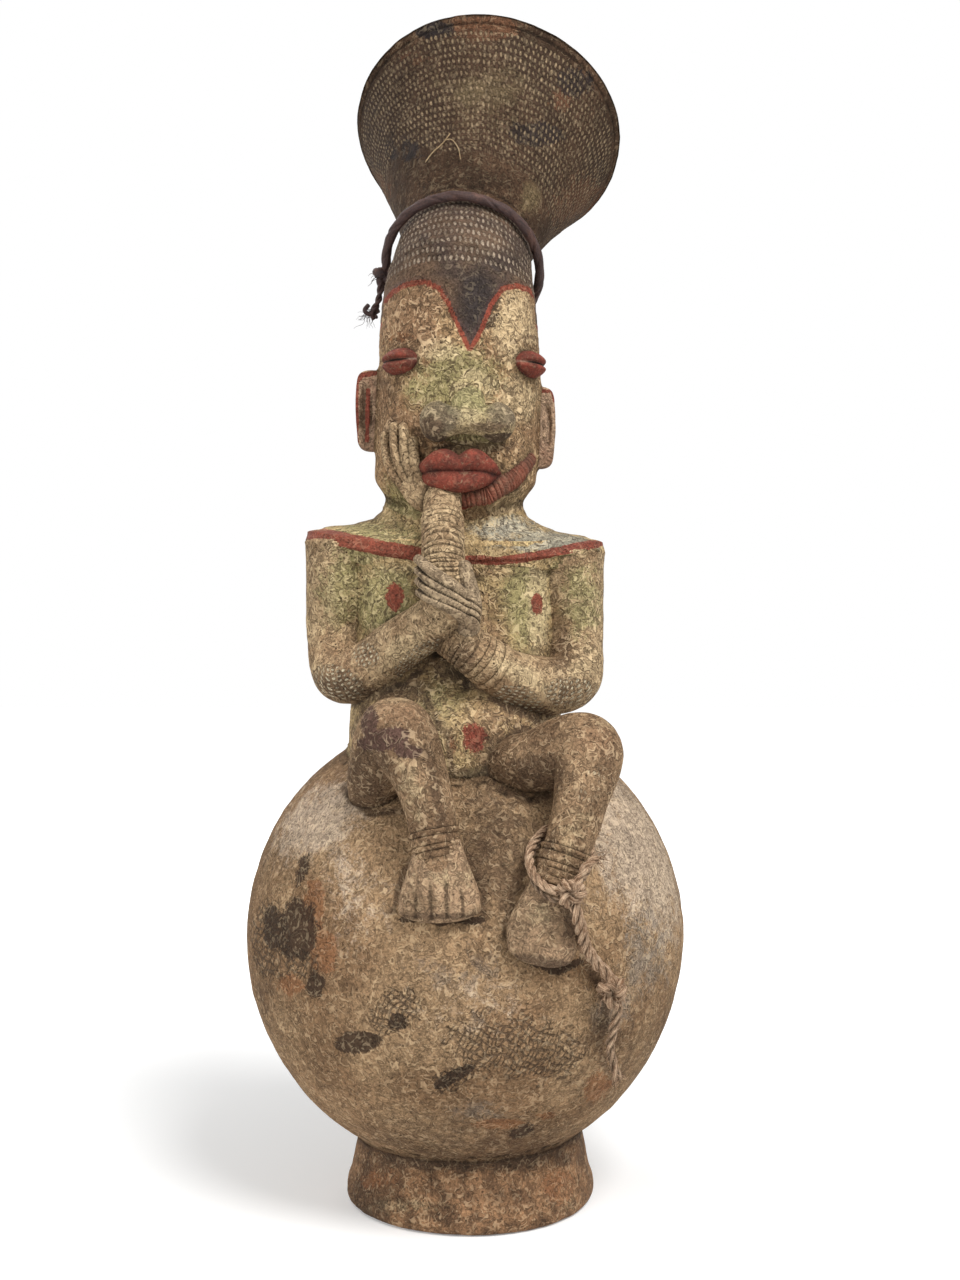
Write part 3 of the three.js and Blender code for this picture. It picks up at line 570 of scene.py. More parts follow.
def spread(value, wide, low=None):
    """A value from 0 to 1 stretched over a width, about 0 unless its low end is given."""
    return maths("MULTIPLY_ADD", value, wide, -wide / 2 if low is None else low)


def here():
    """Places on the piece, in the shared frame."""
    return add("TexCoord").outputs["Object"]


def parts_of(vector):
    return add("SeparateXYZ", {0: vector}).outputs


def whole(x, y, z=0.0):
    return add("CombineXYZ", {0: x, 1: y, 2: z}).outputs[0]


def rows_map():
    """The map of turns and lengths along the piece."""
    return add("UVMap", uv_map="rows").outputs[0]


def kept(name):
    """A value that was marked on the mesh."""
    return add("Attribute", attribute_name=name).outputs["Fac"]


def scaled(colour, by):
    return add("VectorMath", {0: colour, "Scale": by}, operation="SCALE").outputs[0]


def ragged(where, noise, low, high):
    """A mask whose edge a noise breaks up, and which stays 0 where nothing was put."""
    shown = between(plus(where, noise), low, high)
    return times(shown, between(where, 0.02, 0.1))


def between(value, low, high):
    """0 below low, 1 above high, eased between; low may be the larger."""
    node = add("MapRange", {"Value": value, "From Min": low, "From Max": high},
               interpolation_type="SMOOTHSTEP")
    return node.outputs["Result"]


def blended(factor, a, b):
    node = add("Mix", {0: factor, 6: a, 7: b}, data_type="RGBA")
    return node.outputs[2]


def noise_of(vector, scale, detail=3.0, distortion=0.0, rough=0.55):
    node = add("TexNoise", {
        "Vector": vector, "Scale": scale, "Detail": detail, "Roughness": rough,
        "Distortion": distortion})
    return node.outputs["Fac"]


def new_group(name, *sockets):
    """Starts a shared group with inputs given as (name, kind, default)."""
    tree = bpy.data.node_groups.new(name, "ShaderNodeTree")
    kinds = {"colour": "NodeSocketColor", "value": "NodeSocketFloat", "vector": "NodeSocketVector"}
    for label, kind, default in sockets:
        socket = tree.interface.new_socket(label, in_out="INPUT", socket_type=kinds[kind])
        if kind != "vector":
            socket.default_value = (*default, 1.0) if kind == "colour" else default
    WIRED.append(tree)
    return tree.nodes.new("NodeGroupInput").outputs


def group_done(**values):
    """Gives the group its outputs and leaves it."""
    tree = WIRED.pop()
    for label in values:
        kind = "NodeSocketColor" if label == "Colour" else "NodeSocketFloat"
        tree.interface.new_socket(label, in_out="OUTPUT", socket_type=kind)
    out = tree.nodes.new("NodeGroupOutput").inputs
    for label, value in values.items():
        tree.links.new(value, out[label])
    return tree


STAIN_TONES = {
    "red": (0.2, 0.046, 0.029),
    # Soot, and painted shadow lines under the feet and the nose.
    "soot": (0.045, 0.028, 0.019),
    "slate": (0.19, 0.16, 0.13),
    "green": (0.245, 0.225, 0.1),
    "rust": (0.225, 0.1, 0.046),
    "cream": (0.45, 0.345, 0.2),
    "bare": (0.25, 0.15, 0.085),
    # Painted shade, laid where shadow falls between and under parts and low on the jar.
    "shade": (0.1, 0.062, 0.038),
}
# How much of the ground each stain hides; the others 0.7
STAIN_COVER = {"red": 0.95, "soot": 0.9, "cream": 0.6, "shade": 0.78}


def stain_group():
    """Lays the stains and the painted shade over a ground colour, each with a ragged, grainy edge."""
    given = new_group("Stains", ("Ground", "colour", (0.3, 0.2, 0.12)), ("Raggedness", "value", 0.6),
                      *[(name.title() + " tone", "colour", STAIN_TONES[name]) for name in STAINS])
    place = here()
    rag = plus(spread(noise_of(place, 85, 5, 0.9, 0.65), 2.8),
               spread(noise_of(place, 420, 3, 1.8), 1.6))
    rag = times(rag, given["Raggedness"])
    colour = given["Ground"]
    for name in ("green", "cream", "slate", "bare", "shade", "rust", "soot", "red"):
        edge = (0.4, 0.56) if name in ("soot", "rust", "red") else (0.25, 0.85)
        shown = times(ragged(kept(name), rag, *edge), STAIN_COVER.get(name, 0.7))
        colour = blended(shown, colour, given[name.title() + " tone"])
    return group_done(Colour=colour, Painted=shown)


def thin_line(noise, level, wide, soft):
    """1 along the line where a noise passes a level."""
    return between(maths("ABSOLUTE", minus(noise, level)), wide, wide - soft)


def fleck_group():
    """The fired, earth-crusted surface: curls of chaff with a painted shadow beside each, pits, dirt and
    painted shade in hollows and creases, and their height.
    """
    given = new_group("Earth crust", ("Colour", "colour", (0.3, 0.2, 0.12)),
                      ("Contrast", "value", 1.0), ("Flecks", "value", 1.0),
                      ("Crease darkening", "value", 0.7), ("Painted", "value", 0.0))
    place = here()
    broad = noise_of(place, 24, 4, 0.4)
    patchy = noise_of(place, 95, 4, 0.8)
    strokes = noise_of(place, 430, 2, 1.6, 0.6)
    grain = noise_of(place, 900, 2, 0.6)
    curled = noise_of(place, 180, 1, 1.2, 0.5)
    broken = noise_of(place, 260, 1, 0.3)
    there = between(broken, 0.44, 0.53)
    curls = times(thin_line(curled, 0.5, 0.07, 0.04), there)
    # A dark line beside each pale curl: a painted shadow that makes the curl look raised.
    curl_shadow = times(thin_line(curled, 0.615, 0.055, 0.035), there)
    cuts = times(thin_line(noise_of(place, 235, 1, 1.0, 0.5), 0.47, 0.05, 0.03),
                 between(broken, 0.56, 0.47))
    pits = add("TexVoronoi", {"Vector": place, "Scale": 360.0, "Randomness": 1.0})
    chance = add("SeparateColor", {0: pits.outputs["Color"]}).outputs[0]
    dot = between(pits.outputs["Distance"], 0.26, 0.1)
    pit = times(dot, between(chance, 0.76, 0.82))
    speck = times(dot, between(chance, 0.2, 0.14))
    level = spread(broad, 0.9)
    for noise, weight in ((patchy, 0.6), (strokes, 1.45), (grain, 1.5)):
        level = plus(level, spread(noise, weight))
    bright = most(maths("MULTIPLY_ADD", level, given["Contrast"], 1.0), 0.25)
    carved = kept("relief")
    hollow = times(most(times(carved, -1.0), 0.0), 0.85)
    # Darker in hollows and creases: painted shade, partly dirt.
    dirt_and_shade = times(most(hollow, kept("crease")),
                 times(given["Crease darkening"], spread(patchy, 0.5, 0.75)), clamp=True)
    clean_and_unshaded = minus(1.0, dirt_and_shade)
    worn = spread(most(carved, 0.0), 0.5, 1.0)
    lit = scaled(given["Colour"], times(times(bright, clean_and_unshaded), worn))
    plain = times(spread(given["Painted"], -0.7, 1.0), spread(kept("cap"), -0.75, 1.0))
    amount = times(given["Flecks"], plain)
    pale = times(curls, spread(between(patchy, 0.4, 0.58), 0.5, 0.4))
    pale = most(times(pale, 0.85), times(speck, 0.8))
    straw = blended(0.42, scaled(given["Colour"], 1.9), (0.55, 0.43, 0.27))
    flecked = blended(times(pale, times(amount, clean_and_unshaded), clamp=True), lit, straw)
    dark = most(times(most(curl_shadow, cuts), 0.5), times(pit, 0.85))
    final = blended(times(dark, amount, clamp=True), flecked, (0.055, 0.034, 0.022))
    height = spread(patchy, 0.4, 0.0)
    for noise, weight in ((strokes, 0.45), (grain, 0.3), (curls, 0.5), (curl_shadow, -0.25),
                          (cuts, -0.4), (pit, -0.7)):
        height = plus(height, times(noise, weight))
    rough = plus(spread(patchy, 0.2, 0.7), times(given["Painted"], -0.12))
    return group_done(Colour=final, Height=height, Roughness=rough)


def rolled_group():
    """Rows of short dashes left by a rolled cord, on a map of turns and lengths along the piece.

    Each row has a whole number of dashes from its own radius, so they keep their pitch on a flare.
    """
    given = new_group(
        "Rolled cord rows", ("Map", "vector", None), ("Row pitch", "value", 4.0),
        ("Dash pitch", "value", 3.8), ("Low radius", "value", 40.0), ("Radius per mm", "value", 0.0),
        ("Length", "value", 0.5), ("Width", "value", 0.3), ("Wander", "value", 1.0))
    turn, along, _ = parts_of(given["Map"])
    along = times(along, 1000.0)
    place = here()
    drift = maths("MULTIPLY_ADD", noise_of(place, 30, 2), 7.0, -3.5)
    jitter = maths("MULTIPLY_ADD", noise_of(place, 260, 1), 2.6, -1.3)
    along = plus(along, times(drift, given["Wander"]))
    along = plus(along, times(jitter, 0.5))
    row = maths("DIVIDE", along, given["Row pitch"])
    index = maths("FLOOR", row)
    radius = maths("MULTIPLY_ADD", times(index, given["Row pitch"]),
                   given["Radius per mm"], given["Low radius"])
    shift = add("TexWhiteNoise", {"W": index}, noise_dimensions="1D").outputs["Value"]
    count = maths("DIVIDE", times(radius, 2 * math.pi), given["Dash pitch"])
    column = maths("MULTIPLY_ADD", turn, count, times(shift, 5.0))
    column = plus(column, times(jitter, 0.22))
    across = minus(maths("FRACT", column), 0.5)
    down = minus(maths("FRACT", row), 0.5)
    lean = maths("MULTIPLY_ADD", down, 0.35, across)
    lean, down = maths("DIVIDE", lean, given["Width"]), maths("DIVIDE", down, given["Length"])
    far = maths("SQRT", plus(maths("POWER", lean, 2.0), maths("POWER", down, 2.0)))
    cell = whole(maths("FLOOR", column), index)
    shade = add("TexWhiteNoise", {"Vector": cell}, noise_dimensions="3D").outputs["Value"]
    return group_done(Mask=between(far, 1.0, 0.62), Shade=shade)


GROUPS = {}


def shared(name, inputs=None):
    """An instance of a shared node group, built once."""
    makers = {"Stains": stain_group, "Earth crust": fleck_group, "Rolled cord rows": rolled_group}
    if name not in GROUPS:
        GROUPS[name] = makers[name]()
    return add("Group", inputs, node_tree=GROUPS[name]).outputs


def new_material(name):
    made = bpy.data.materials.new(name)
    made.use_nodes = True
    made.node_tree.nodes.clear()
    WIRED.append(made.node_tree)
    return made


def surface(colour, rough, height, depth, strength=0.9, specular=0.14):
    """Ends a material: colour, roughness and a bump of the given depth in metres."""
    lifted = add("Bump", {"Height": height, "Distance": depth, "Strength": strength})
    shader = add("BsdfPrincipled", {"Base Color": colour, "Roughness": rough,
                                    "Normal": lifted.outputs[0], "Specular IOR Level": specular})
    add("OutputMaterial", {"Surface": shader.outputs[0]})
    WIRED.pop()


def clay_material(name, ground, second, broad, contrast, flecks, crease, marks, tones):
    """Low-fired clay: two ground colours, stains over them, cord marks, then the earth crust."""
    made = new_material(name)
    place = here()
    cloud = noise_of(place, broad, 4, 0.5)
    base = blended(between(cloud, 0.4, 0.62), ground, second)
    painted = shared("Stains", {"Ground": base, **{
        key.title() + " tone": value for key, value in tones.items()}})
    colour, height = painted["Colour"], 0.0
    for mark_made in marks:
        colour, height = mark_made(colour, height)
    crust = shared("Earth crust", {
        "Colour": colour, "Contrast": contrast, "Flecks": flecks, "Crease darkening": crease,
        "Painted": painted["Painted"]})
    surface(crust["Colour"], crust["Roughness"], plus(crust["Height"], height), 0.0009,
            specular=0.06 if marks else 0.14)
    return made


def cord_rows(attribute, row, dash, radius, slope, fill, ridge, deep, wander, length, width, cover):
    """Rolled cord marks where an attribute says, their pits filled with pale earth."""
    def made(colour, height):
        rows = shared("Rolled cord rows", {
            "Map": rows_map(), "Row pitch": row, "Dash pitch": dash, "Low radius": radius,
            "Radius per mm": slope, "Wander": wander, "Length": length, "Width": width})
        place = here()
        there = ragged(kept(attribute), spread(noise_of(place, 75, 3, 0.5), 0.9), 0.35, 0.6)
        dashes = times(rows["Mask"], there)
        filled = between(noise_of(place, 48, 4, 0.8), 0.28, 0.56)
        left = times(spread(rows["Shade"], 0.7, cover - 0.35), spread(filled, 0.75, 0.25))
        between_rows = times(minus(there, dashes), 0.35, clamp=True)
        colour = blended(between_rows, colour, ridge)
        colour = blended(times(dashes, left, clamp=True), colour, fill)
        return colour, plus(height, times(dashes, -deep))
    return made


def brushed(colour, height):
    """Streaks of a straw brush drawn along the coiffure."""
    turn, along, _ = parts_of(rows_map())
    angle = times(turn, 2 * math.pi)
    way = whole(times(maths("COSINE", angle), 20.0), times(maths("SINE", angle), 20.0),
                times(along, 45.0))
    streak = noise_of(way, 1.0, 4, 0.6, 0.7)
    where = kept("brushed")
    level = times(spread(streak, 1.7), where)
    return scaled(colour, plus(level, 1.0)), plus(height, times(times(streak, where), 1.4))


def capped(colour, height):
    """A smoked cap over the head's clay, blackest where soot lies."""
    place = here()
    dark = blended(between(noise_of(place, 45, 4, 0.6), 0.4, 0.6), (0.115, 0.072, 0.048),
                   (0.06, 0.042, 0.036))
    dark = blended(kept("soot"), dark, (0.034, 0.028, 0.027))
    there = ragged(kept("cap"), spread(noise_of(place, 260, 4, 1.0), 0.9), 0.35, 0.7)
    return blended(times(there, 0.94), colour, dark), height


def net_marks(colour, height):
    """A net of fine dark grooves, as a knotted cord leaves when it is pressed on the clay."""
    place = here()
    warp = add("TexNoise", {"Vector": place, "Scale": 70.0, "Detail": 2.0})
    shift = add("VectorMath", {0: warp.outputs["Color"], 1: (-0.5, -0.5, -0.5)}).outputs[0]
    x, _, z = parts_of(place)
    moved = add("VectorMath", {0: whole(x, z), 1: scaled(shift, 0.012)}).outputs[0]
    turned = add("VectorRotate", {"Vector": moved, "Angle": 0.5}, rotation_type="Z_AXIS").outputs[0]
    across, down, _ = parts_of(turned)
    lines = []
    for socket, pitch in ((across, 2.5), (down, 3.75)):
        cell = maths("FRACT", maths("DIVIDE", times(socket, 1000.0), pitch))
        lines.append(between(maths("ABSOLUTE", minus(cell, 0.5)), 0.3, 0.44))
    there = ragged(kept("net"), spread(noise_of(place, 150, 3, 0.5), 2.6), 0.36, 0.7)
    groove = times(most(*lines), there)
    colour = blended(times(groove, 0.65), colour, (0.06, 0.042, 0.03))
    return colour, plus(height, times(groove, -1.3))


def fibre_material(name, ground, second, dust, bump=0.0006, rough=0.9, specular=0.15):
    """Twisted plant fibre or hide: streaks that follow each strand's own length."""
    made = new_material(name)
    run = add("VectorMath", {0: rows_map(), 1: (9.0, 110.0, 0.0)}, operation="MULTIPLY").outputs[0]
    place = here()
    wobble = add("TexNoise", {"Vector": place, "Scale": 240.0, "Detail": 2.0})
    shifted = add("VectorMath", {0: run, 1: wobble.outputs["Color"]}).outputs[0]
    streaks = noise_of(shifted, 1.6, 4, 0.3, 0.65)
    patches = noise_of(place, 90, 4, 0.6)
    grain = noise_of(place, 900, 2, 0.5)
    colour = blended(between(streaks, 0.34, 0.66), ground, second)
    worn = times(between(patches, 0.5, 0.68), 0.6)
    colour = blended(worn, colour, dust)
    carved = kept("relief")
    # Darker in the marked hollows between strands and at a knot's core: painted shade; the grain varies the
    # tone at random.
    shade = times(spread(grain, 1.2, 0.4), most(spread(carved, 0.7, 1.0), 0.25))
    height = plus(streaks, times(grain, 0.5))
    surface(scaled(colour, shade), rough, height, bump, 1.0, specular)
    return made


# Strands, knots and loose fibres

def frames_along(line, up):
    """Two side directions at each point of a line: carried along it, or kept square to up."""
    ways = np.gradient(line, axis=0)
    if up is not None:
        ways[0] = ways[-1] = line[1] - line[-2]
    ways /= np.linalg.norm(ways, axis=1)[:, None]
    u = unit(np.cross(ways[0], (0.31, 0.52, 0.79)))
    us = []
    for way in ways:
        lead = u if up is None else np.asarray(up, float)
        u = unit(lead - way * lead.dot(way))
        us.append(u)
    us = np.array(us)
    return ways, us, np.cross(ways, us)


def even_line(points, step, closed=False):
    """Points a step apart along the curve; a closed one comes back to its start."""
    fine = np.array([along_curve(points, s, closed) for s in np.linspace(0, 1, 400)])
    far = np.concatenate([[0], np.cumsum(np.linalg.norm(np.diff(fine, axis=0), axis=1))])
    count = max(int(round(far[-1] / step)), 8)
    at = np.linspace(0, far[-1], count + 1)
    return np.stack([np.interp(at, far, fine[:, k]) for k in range(3)], 1)


def rings_round(line, us, vs, angle, size):
    """Rings of points round a line, in its side directions; size is one row to each ring."""
    return line[:, None] + (np.cos(angle)[None, :, None] * us[:, None]
                            + np.sin(angle)[None, :, None] * vs[:, None]) * size[..., None]


def strand(line, radius, sides, up=None):
    """Rings of one strand along a line of points; radius may change along it."""
    _, us, vs = frames_along(line, up)
    radius = np.broadcast_to(radius, len(line))
    angle = np.arange(sides) / sides * 2 * math.pi
    return rings_round(line, us, vs, angle, radius[:, None])


def run_of(rings):
    """How far along the piece each ring is, in metres."""
    middle = rings.mean(axis=1)
    steps = np.linalg.norm(np.diff(middle, axis=0), axis=1)
    return np.concatenate([[0], np.cumsum(steps)]) * MM


def twisted(line, radius, count, pitch, up=None, seed=0, rough=0.12):
    """Rings of several strands laid round each other along a line."""
    far = np.concatenate([[0], np.cumsum(np.linalg.norm(np.diff(line, axis=0), axis=1))])
    turns = far[-1] / pitch
    turns = max(round(turns), 1) if up is not None else turns
    _, us, vs = frames_along(line, up)
    share = 1 / (1 + 1 / math.sin(math.pi / count)) if count > 1 else 1.0
    radius = np.broadcast_to(radius, len(line))
    made = []
    for k in range(count):
        angle = 2 * math.pi * (turns * far / far[-1] + k / count)
        out = radius * (1 - share) * (1 if count > 1 else 0)
        centre = line + out[:, None] * (np.cos(angle)[:, None] * us + np.sin(angle)[:, None] * vs)
        wave = 1 + rough * cloudy(centre, 5.0, seed + k)
        if up is not None:
            wave[-1] = wave[0]
        made.append(strand(centre, radius * share * 1.12 * wave, 9, up))
    return made


def strands(name, many):
    return gathered(name, [skin(f"{name}_{i}", rings, run_of(rings))
                           for i, rings in enumerate(many)])


def knotted(middle, along, size, radius, count, seed):
    """An overhand knot pulled close: strands that run round a three-lobed loop."""
    t = np.linspace(0, 2 * math.pi, 110)
    loop = np.stack([np.sin(t) + 2 * np.sin(2 * t), np.cos(t) - 2 * np.cos(2 * t),
                     -1.5 * np.sin(3 * t)], 1) / 3
    along = unit(np.asarray(along, float))
    u = unit(np.cross(along, (0.2, 0.9, 0.3)))
    v = np.cross(along, u)
    reach = size - radius
    line = middle + loop[:, :1] * u * reach + loop[:, 1:2] * along * reach + loop[:, 2:] * v * reach
    return twisted(line, radius, count, 9.0, None, seed, 0.15)


def way_out(rng, *spans):
    return np.array([rng.uniform(*span) for span in spans])


def wisp(start, way, length, thick, curl, seed, bend=0.5):
    """One loose fibre: it leaves along a direction, droops and curls."""
    rng = np.random.default_rng(seed)
    way = unit(np.asarray(way, float))
    side = unit(np.cross(way, rng.normal(size=3)))
    t = np.linspace(0, 1, 12)
    line = (np.asarray(start, float) + np.outer(t * length, way)
            + np.outer(np.sin(t * curl * 3) * length * 0.16, side)
            + np.outer(-t ** 2 * length * bend, Z_AXIS))
    return strand(line, thick * (1 - 0.75 * t), 5)


def seen_point(obj, x, y, out):
    """The place on a piece that shows at a point of the picture, lifted off its surface."""
    way = Vector(((x - EYE_MIDDLE[0]) / EYE_REACH, 1.0, -(y - EYE_MIDDLE[1]) / EYE_REACH))
    hit = tree_of(obj).ray_cast(Vector(EYE * MM), way.normalized())
    if hit[0] is None:
        raise RuntimeError(f"{obj.name} isn't seen at {x}, {y}")
    return np.array(hit[0]) / MM + np.array(hit[1]) * out


# Shapes of the clay pieces

def shaped_globe():
    top = math.acos(MOUTH_RADIUS / JAR_RADIUS)
    outer = []
    for e in np.linspace(-math.pi / 2, top, 186):
        rise = (JAR_LOWER if e < 0 else JAR_RADIUS) * math.sin(e)
        outer.append((max(JAR_RADIUS * math.cos(e), 0.0), JAR_Z + rise))
    outer[0] = (0.0, outer[0][1])
    inner = []
    for e in np.linspace(top, -math.pi / 2, 26):
        low = JAR_LOWER if e < 0 else JAR_RADIUS
        inner.append((max((JAR_RADIUS - JAR_WALL) * math.cos(e), 0.0),
                      JAR_Z + (low - JAR_WALL) * math.sin(e)))
    inner[-1] = (0.0, inner[-1][1])
    return skin("clay_globe", round_rings(outer + inner, 372, JAR_X, JAR_Y))


def shaped_foot():
    flare = FOOT_BASE - FOOT_TOP
    top = FOOT_HEIGHT + 5
    profile = [
        (FOOT_BASE - FOOT_WALL + 1, 0.8), (FOOT_BASE - 8, 0), (FOOT_BASE - 3, 0.1),
        (FOOT_BASE - 0.6, 1.4), (FOOT_BASE + 0.5, 4), (FOOT_BASE, 9),
        (FOOT_TOP + flare * 0.66, FOOT_HEIGHT * 0.4), (FOOT_TOP + flare * 0.33, FOOT_HEIGHT * 0.66),
        (FOOT_TOP, FOOT_HEIGHT - 3), (FOOT_TOP - 1, top - 1), (FOOT_TOP - 4, top),
        (FOOT_TOP - FOOT_WALL, top - 1), (FOOT_TOP - FOOT_WALL + 3, FOOT_HEIGHT * 0.5),
        (FOOT_BASE - FOOT_WALL, 4), (FOOT_BASE - FOOT_WALL + 1, 0.8),
    ]
    flat = np.array([(r, 0, z) for r, z in profile])
    fine = [along_curve(flat, s) for s in np.linspace(0, 1, 120)]
    rings = round_rings([(p[0], max(p[2], 0.0)) for p in fine], 300, FOOT_X, JAR_Y)
    rings[-1] = rings[0]
    return skin("clay_foot", rings)


def off_globe(points, deep):
    """Points that lie deeper than this under the jar's skin come up to that depth."""
    middle = np.array([JAR_X, JAR_Y, JAR_Z])
    away = points - middle
    far = np.linalg.norm(away, axis=-1, keepdims=True)
    return middle + away / far * np.maximum(far, JAR_RADIUS - deep)


def bored(z, count):
    return round_rings([(throat_radius(z), z)], count, FIGURE_X, FIGURE_Y)[0]


def shaped_torso(count=280):
    rows = [
        (-0.72, HIP_HALF - 6, BELLY_FRONT - 18, TORSO_BACK + 2, 2),
        (-0.32, HIP_HALF, BELLY_FRONT, TORSO_BACK + 6, 2.2),
        (-0.05, HIP_HALF - 1, BELLY_FRONT - 4, TORSO_BACK + 4, 2.4),
        (0.28, CHEST_HALF + 1, CHEST_FRONT + 10, TORSO_BACK, 2.9),
        (0.66, CHEST_HALF + 0.5, CHEST_FRONT + 0.5, TORSO_BACK - 3, 4.2),
        (1, CHEST_HALF + 2, CHEST_FRONT - 1.5, TORSO_BACK - 5, 5),
    ]
    rings = [bored(SEAT_Z - 12, count)]
    for share in np.linspace(-0.55, 1.08, 104):
        half, front, back, square = eased(rows, min(share, 1))
        ring = level_ring(SEAT_Z + share * TORSO_HEIGHT, half, front, back, square, count)
        rings.append(off_globe(ring, 5))
    for z in np.linspace(SEAT_Z + 1.08 * TORSO_HEIGHT, SEAT_Z - 12, 20):
        rings.append(bored(z, count))
    return skin("clay_torso", rings)


def shaped_shelf(count=320):
    rows = [
        (0, SHELF_HALF - 3.6, SHELF_FRONT - 4.4, SHELF_BACK - 3.5, 3.2),
        (0.3, SHELF_HALF - 2, SHELF_FRONT - 2.6, SHELF_BACK - 2, 3.3),
        (0.37, SHELF_HALF - 0.3, SHELF_FRONT - 0.6, SHELF_BACK - 0.3, 3.4),
        (0.64, SHELF_HALF - 0.5, SHELF_FRONT - 1, SHELF_BACK, 3.2),
        (0.82, SHELF_HALF - 9, SHELF_FRONT - 4, SHELF_BACK - 3, 2.8),
        (1, NECK_RADIUS + 17, NECK_RADIUS + 3, NECK_RADIUS - 2, 2.2),
        (1.22, NECK_RADIUS + 6.5, NECK_RADIUS + 1.5, NECK_RADIUS, 2),
        (1.5, NECK_RADIUS + 1, NECK_RADIUS - 1, NECK_RADIUS - 1.5, 2),
        (1.7, NECK_RADIUS - 2, NECK_RADIUS - 3, NECK_RADIUS - 3, 2),
    ]

    def settled(ring):
        x = (ring[:, 0] - FIGURE_X) / SHELF_HALF
        forward = smooth((FIGURE_Y - ring[:, 1]) / SHELF_FRONT, 0.1, 0.95)
        drop = SHELF_SAG * np.maximum(0, 1 - x * x) * forward + SHELF_SLOPE * x
        return ring - np.outer(drop, Z_AXIS)

    rings = [bored(SHELF_Z, count)]
    half, front, back, square = rows[0][1:]
    for inset in np.linspace(36, 0, 22):
        rings.append(settled(level_ring(
            SHELF_Z - 0.5 + 0.5 * (inset == 0), half - inset, front - inset * 0.3,
            back - inset * 0.2, square, count)))
    for share in np.linspace(0.03, 1.6, 76):
        half, front, back, square = eased(rows, share)
        rings.append(settled(level_ring(SHELF_Z + share * SHELF_THICK, half, front, back, square,
                                        count)))
    for share in np.linspace(1.6, 0, 12):
        rings.append(bored(SHELF_Z + share * SHELF_THICK, count))
    return skin("clay_shelf", rings)


def shaped_head(count=230):
    rounds = np.arange(count) / count * 360 + 180
    shares = np.linspace(0, 1, 150)
    outer = [head_ring(s, rounds) for s in shares]
    up = head_frame(1)[1] @ Z_AXIS
    outer.append(head_ring(1, rounds, -0.7) + up * 1.2)
    outer.append(head_ring(1, rounds, -1.8) + up * 3.0)
    inner = [head_ring(s, rounds, -HEAD_WALL) for s in np.linspace(1, 0, 40)]
    along = [s * HEAD_LENGTH * MM for s in shares]
    rest = [along[-1] + 0.001 * k for k in range(1, len(inner) + 3)]
    return skin("clay_head", outer + inner, along + rest)


def shaped_coiffure(count=340):
    middle, turn = head_frame(1)
    low, high = -3.0, COIFFURE_LENGTH

    def radius(h):
        if h < 0:
            return WAIST_RADIUS + h * 0.55
        line = 0.7 * math.exp(-((h - high + 5.2) / 0.7) ** 2)
        return coiffure_radius(h / COIFFURE_LENGTH) - line

    heights = np.concatenate([np.linspace(low, high - 9, 92), np.linspace(high - 8.6, high - 1.6, 24)])
    outer = [(radius(h), h) for h in heights]
    thick = COIFFURE_WALL / 2
    rim = [(COIFFURE_RADIUS - thick + thick * math.cos(a), high - 1.6 + 2.2 * math.sin(a))
           for a in np.linspace(0.2, math.pi - 0.2, 12)]
    inner = [(radius(max(h, 0)) - (HEAD_WALL + (COIFFURE_WALL - HEAD_WALL) * h / high), h)
             for h in np.linspace(high - 1.6, low, 60)]
    flat = round_rings(outer + rim + inner, count)
    rings = flat @ turn.T + middle
    rows = [h * MM for _, h in outer + rim + inner]
    rows[len(outer) + len(rim):] = [0.2 + row for row in rows[len(outer) + len(rim):]]
    return skin("clay_coiffure", rings, rows)


def shaped_ear(name, side, level, reach, height=44, thick=10):
    """A slab with rounded corners, a hollow worked into its front and a ridge left in it."""
    root = on_head(level, side * 90 - FACE_TURN)
    outline = np.array([
        [-9, -height * 0.42], [reach - 7, -height / 2], [reach - 1.5, -height / 2 + 2],
        [reach, -height / 2 + 9], [reach + 0.6, height / 2 - 12], [reach - 1.5, height / 2 - 2],
        [reach - 8, height / 2], [-9, height * 0.42]], float)
    pad = np.concatenate([outline, np.zeros((len(outline), 1))], 1)
    edge = np.array([along_curve(pad, s, True)[:2] for s in np.arange(150) / 150])
    middle = np.array([reach * 0.42, 0.0])
    rings = []
    for scale in np.linspace(0.0, 1.0, 40):
        rings.append((scale, -1.0))
    for a in np.linspace(0.15, math.pi - 0.15, 16):
        rings.append((1 + 0.012 * math.sin(a), -math.cos(a)))
    for scale in np.linspace(1.0, 0.0, 12):
        rings.append((scale, 1.0))
    made = []
    for scale, depth in rings:
        flat = middle + (edge - middle) * scale
        y = np.full(len(flat), depth * thick / 2)
        if depth == -1.0:
            far = np.hypot((flat[:, 0] - reach * 0.5) / (reach * 0.42),
                           flat[:, 1] / (height * 0.36))
            y += 2.8 * smooth(1 - far, 0, 0.7)
            ridge = np.hypot((flat[:, 0] - reach * 0.45) / 2.2, (flat[:, 1] + 1) / (height * 0.22))
            y -= 2.6 * smooth(1.2 - ridge, 0, 0.9)
        made.append(np.stack([side * flat[:, 0], y, flat[:, 1]], 1) + root)
    return skin(name, made)


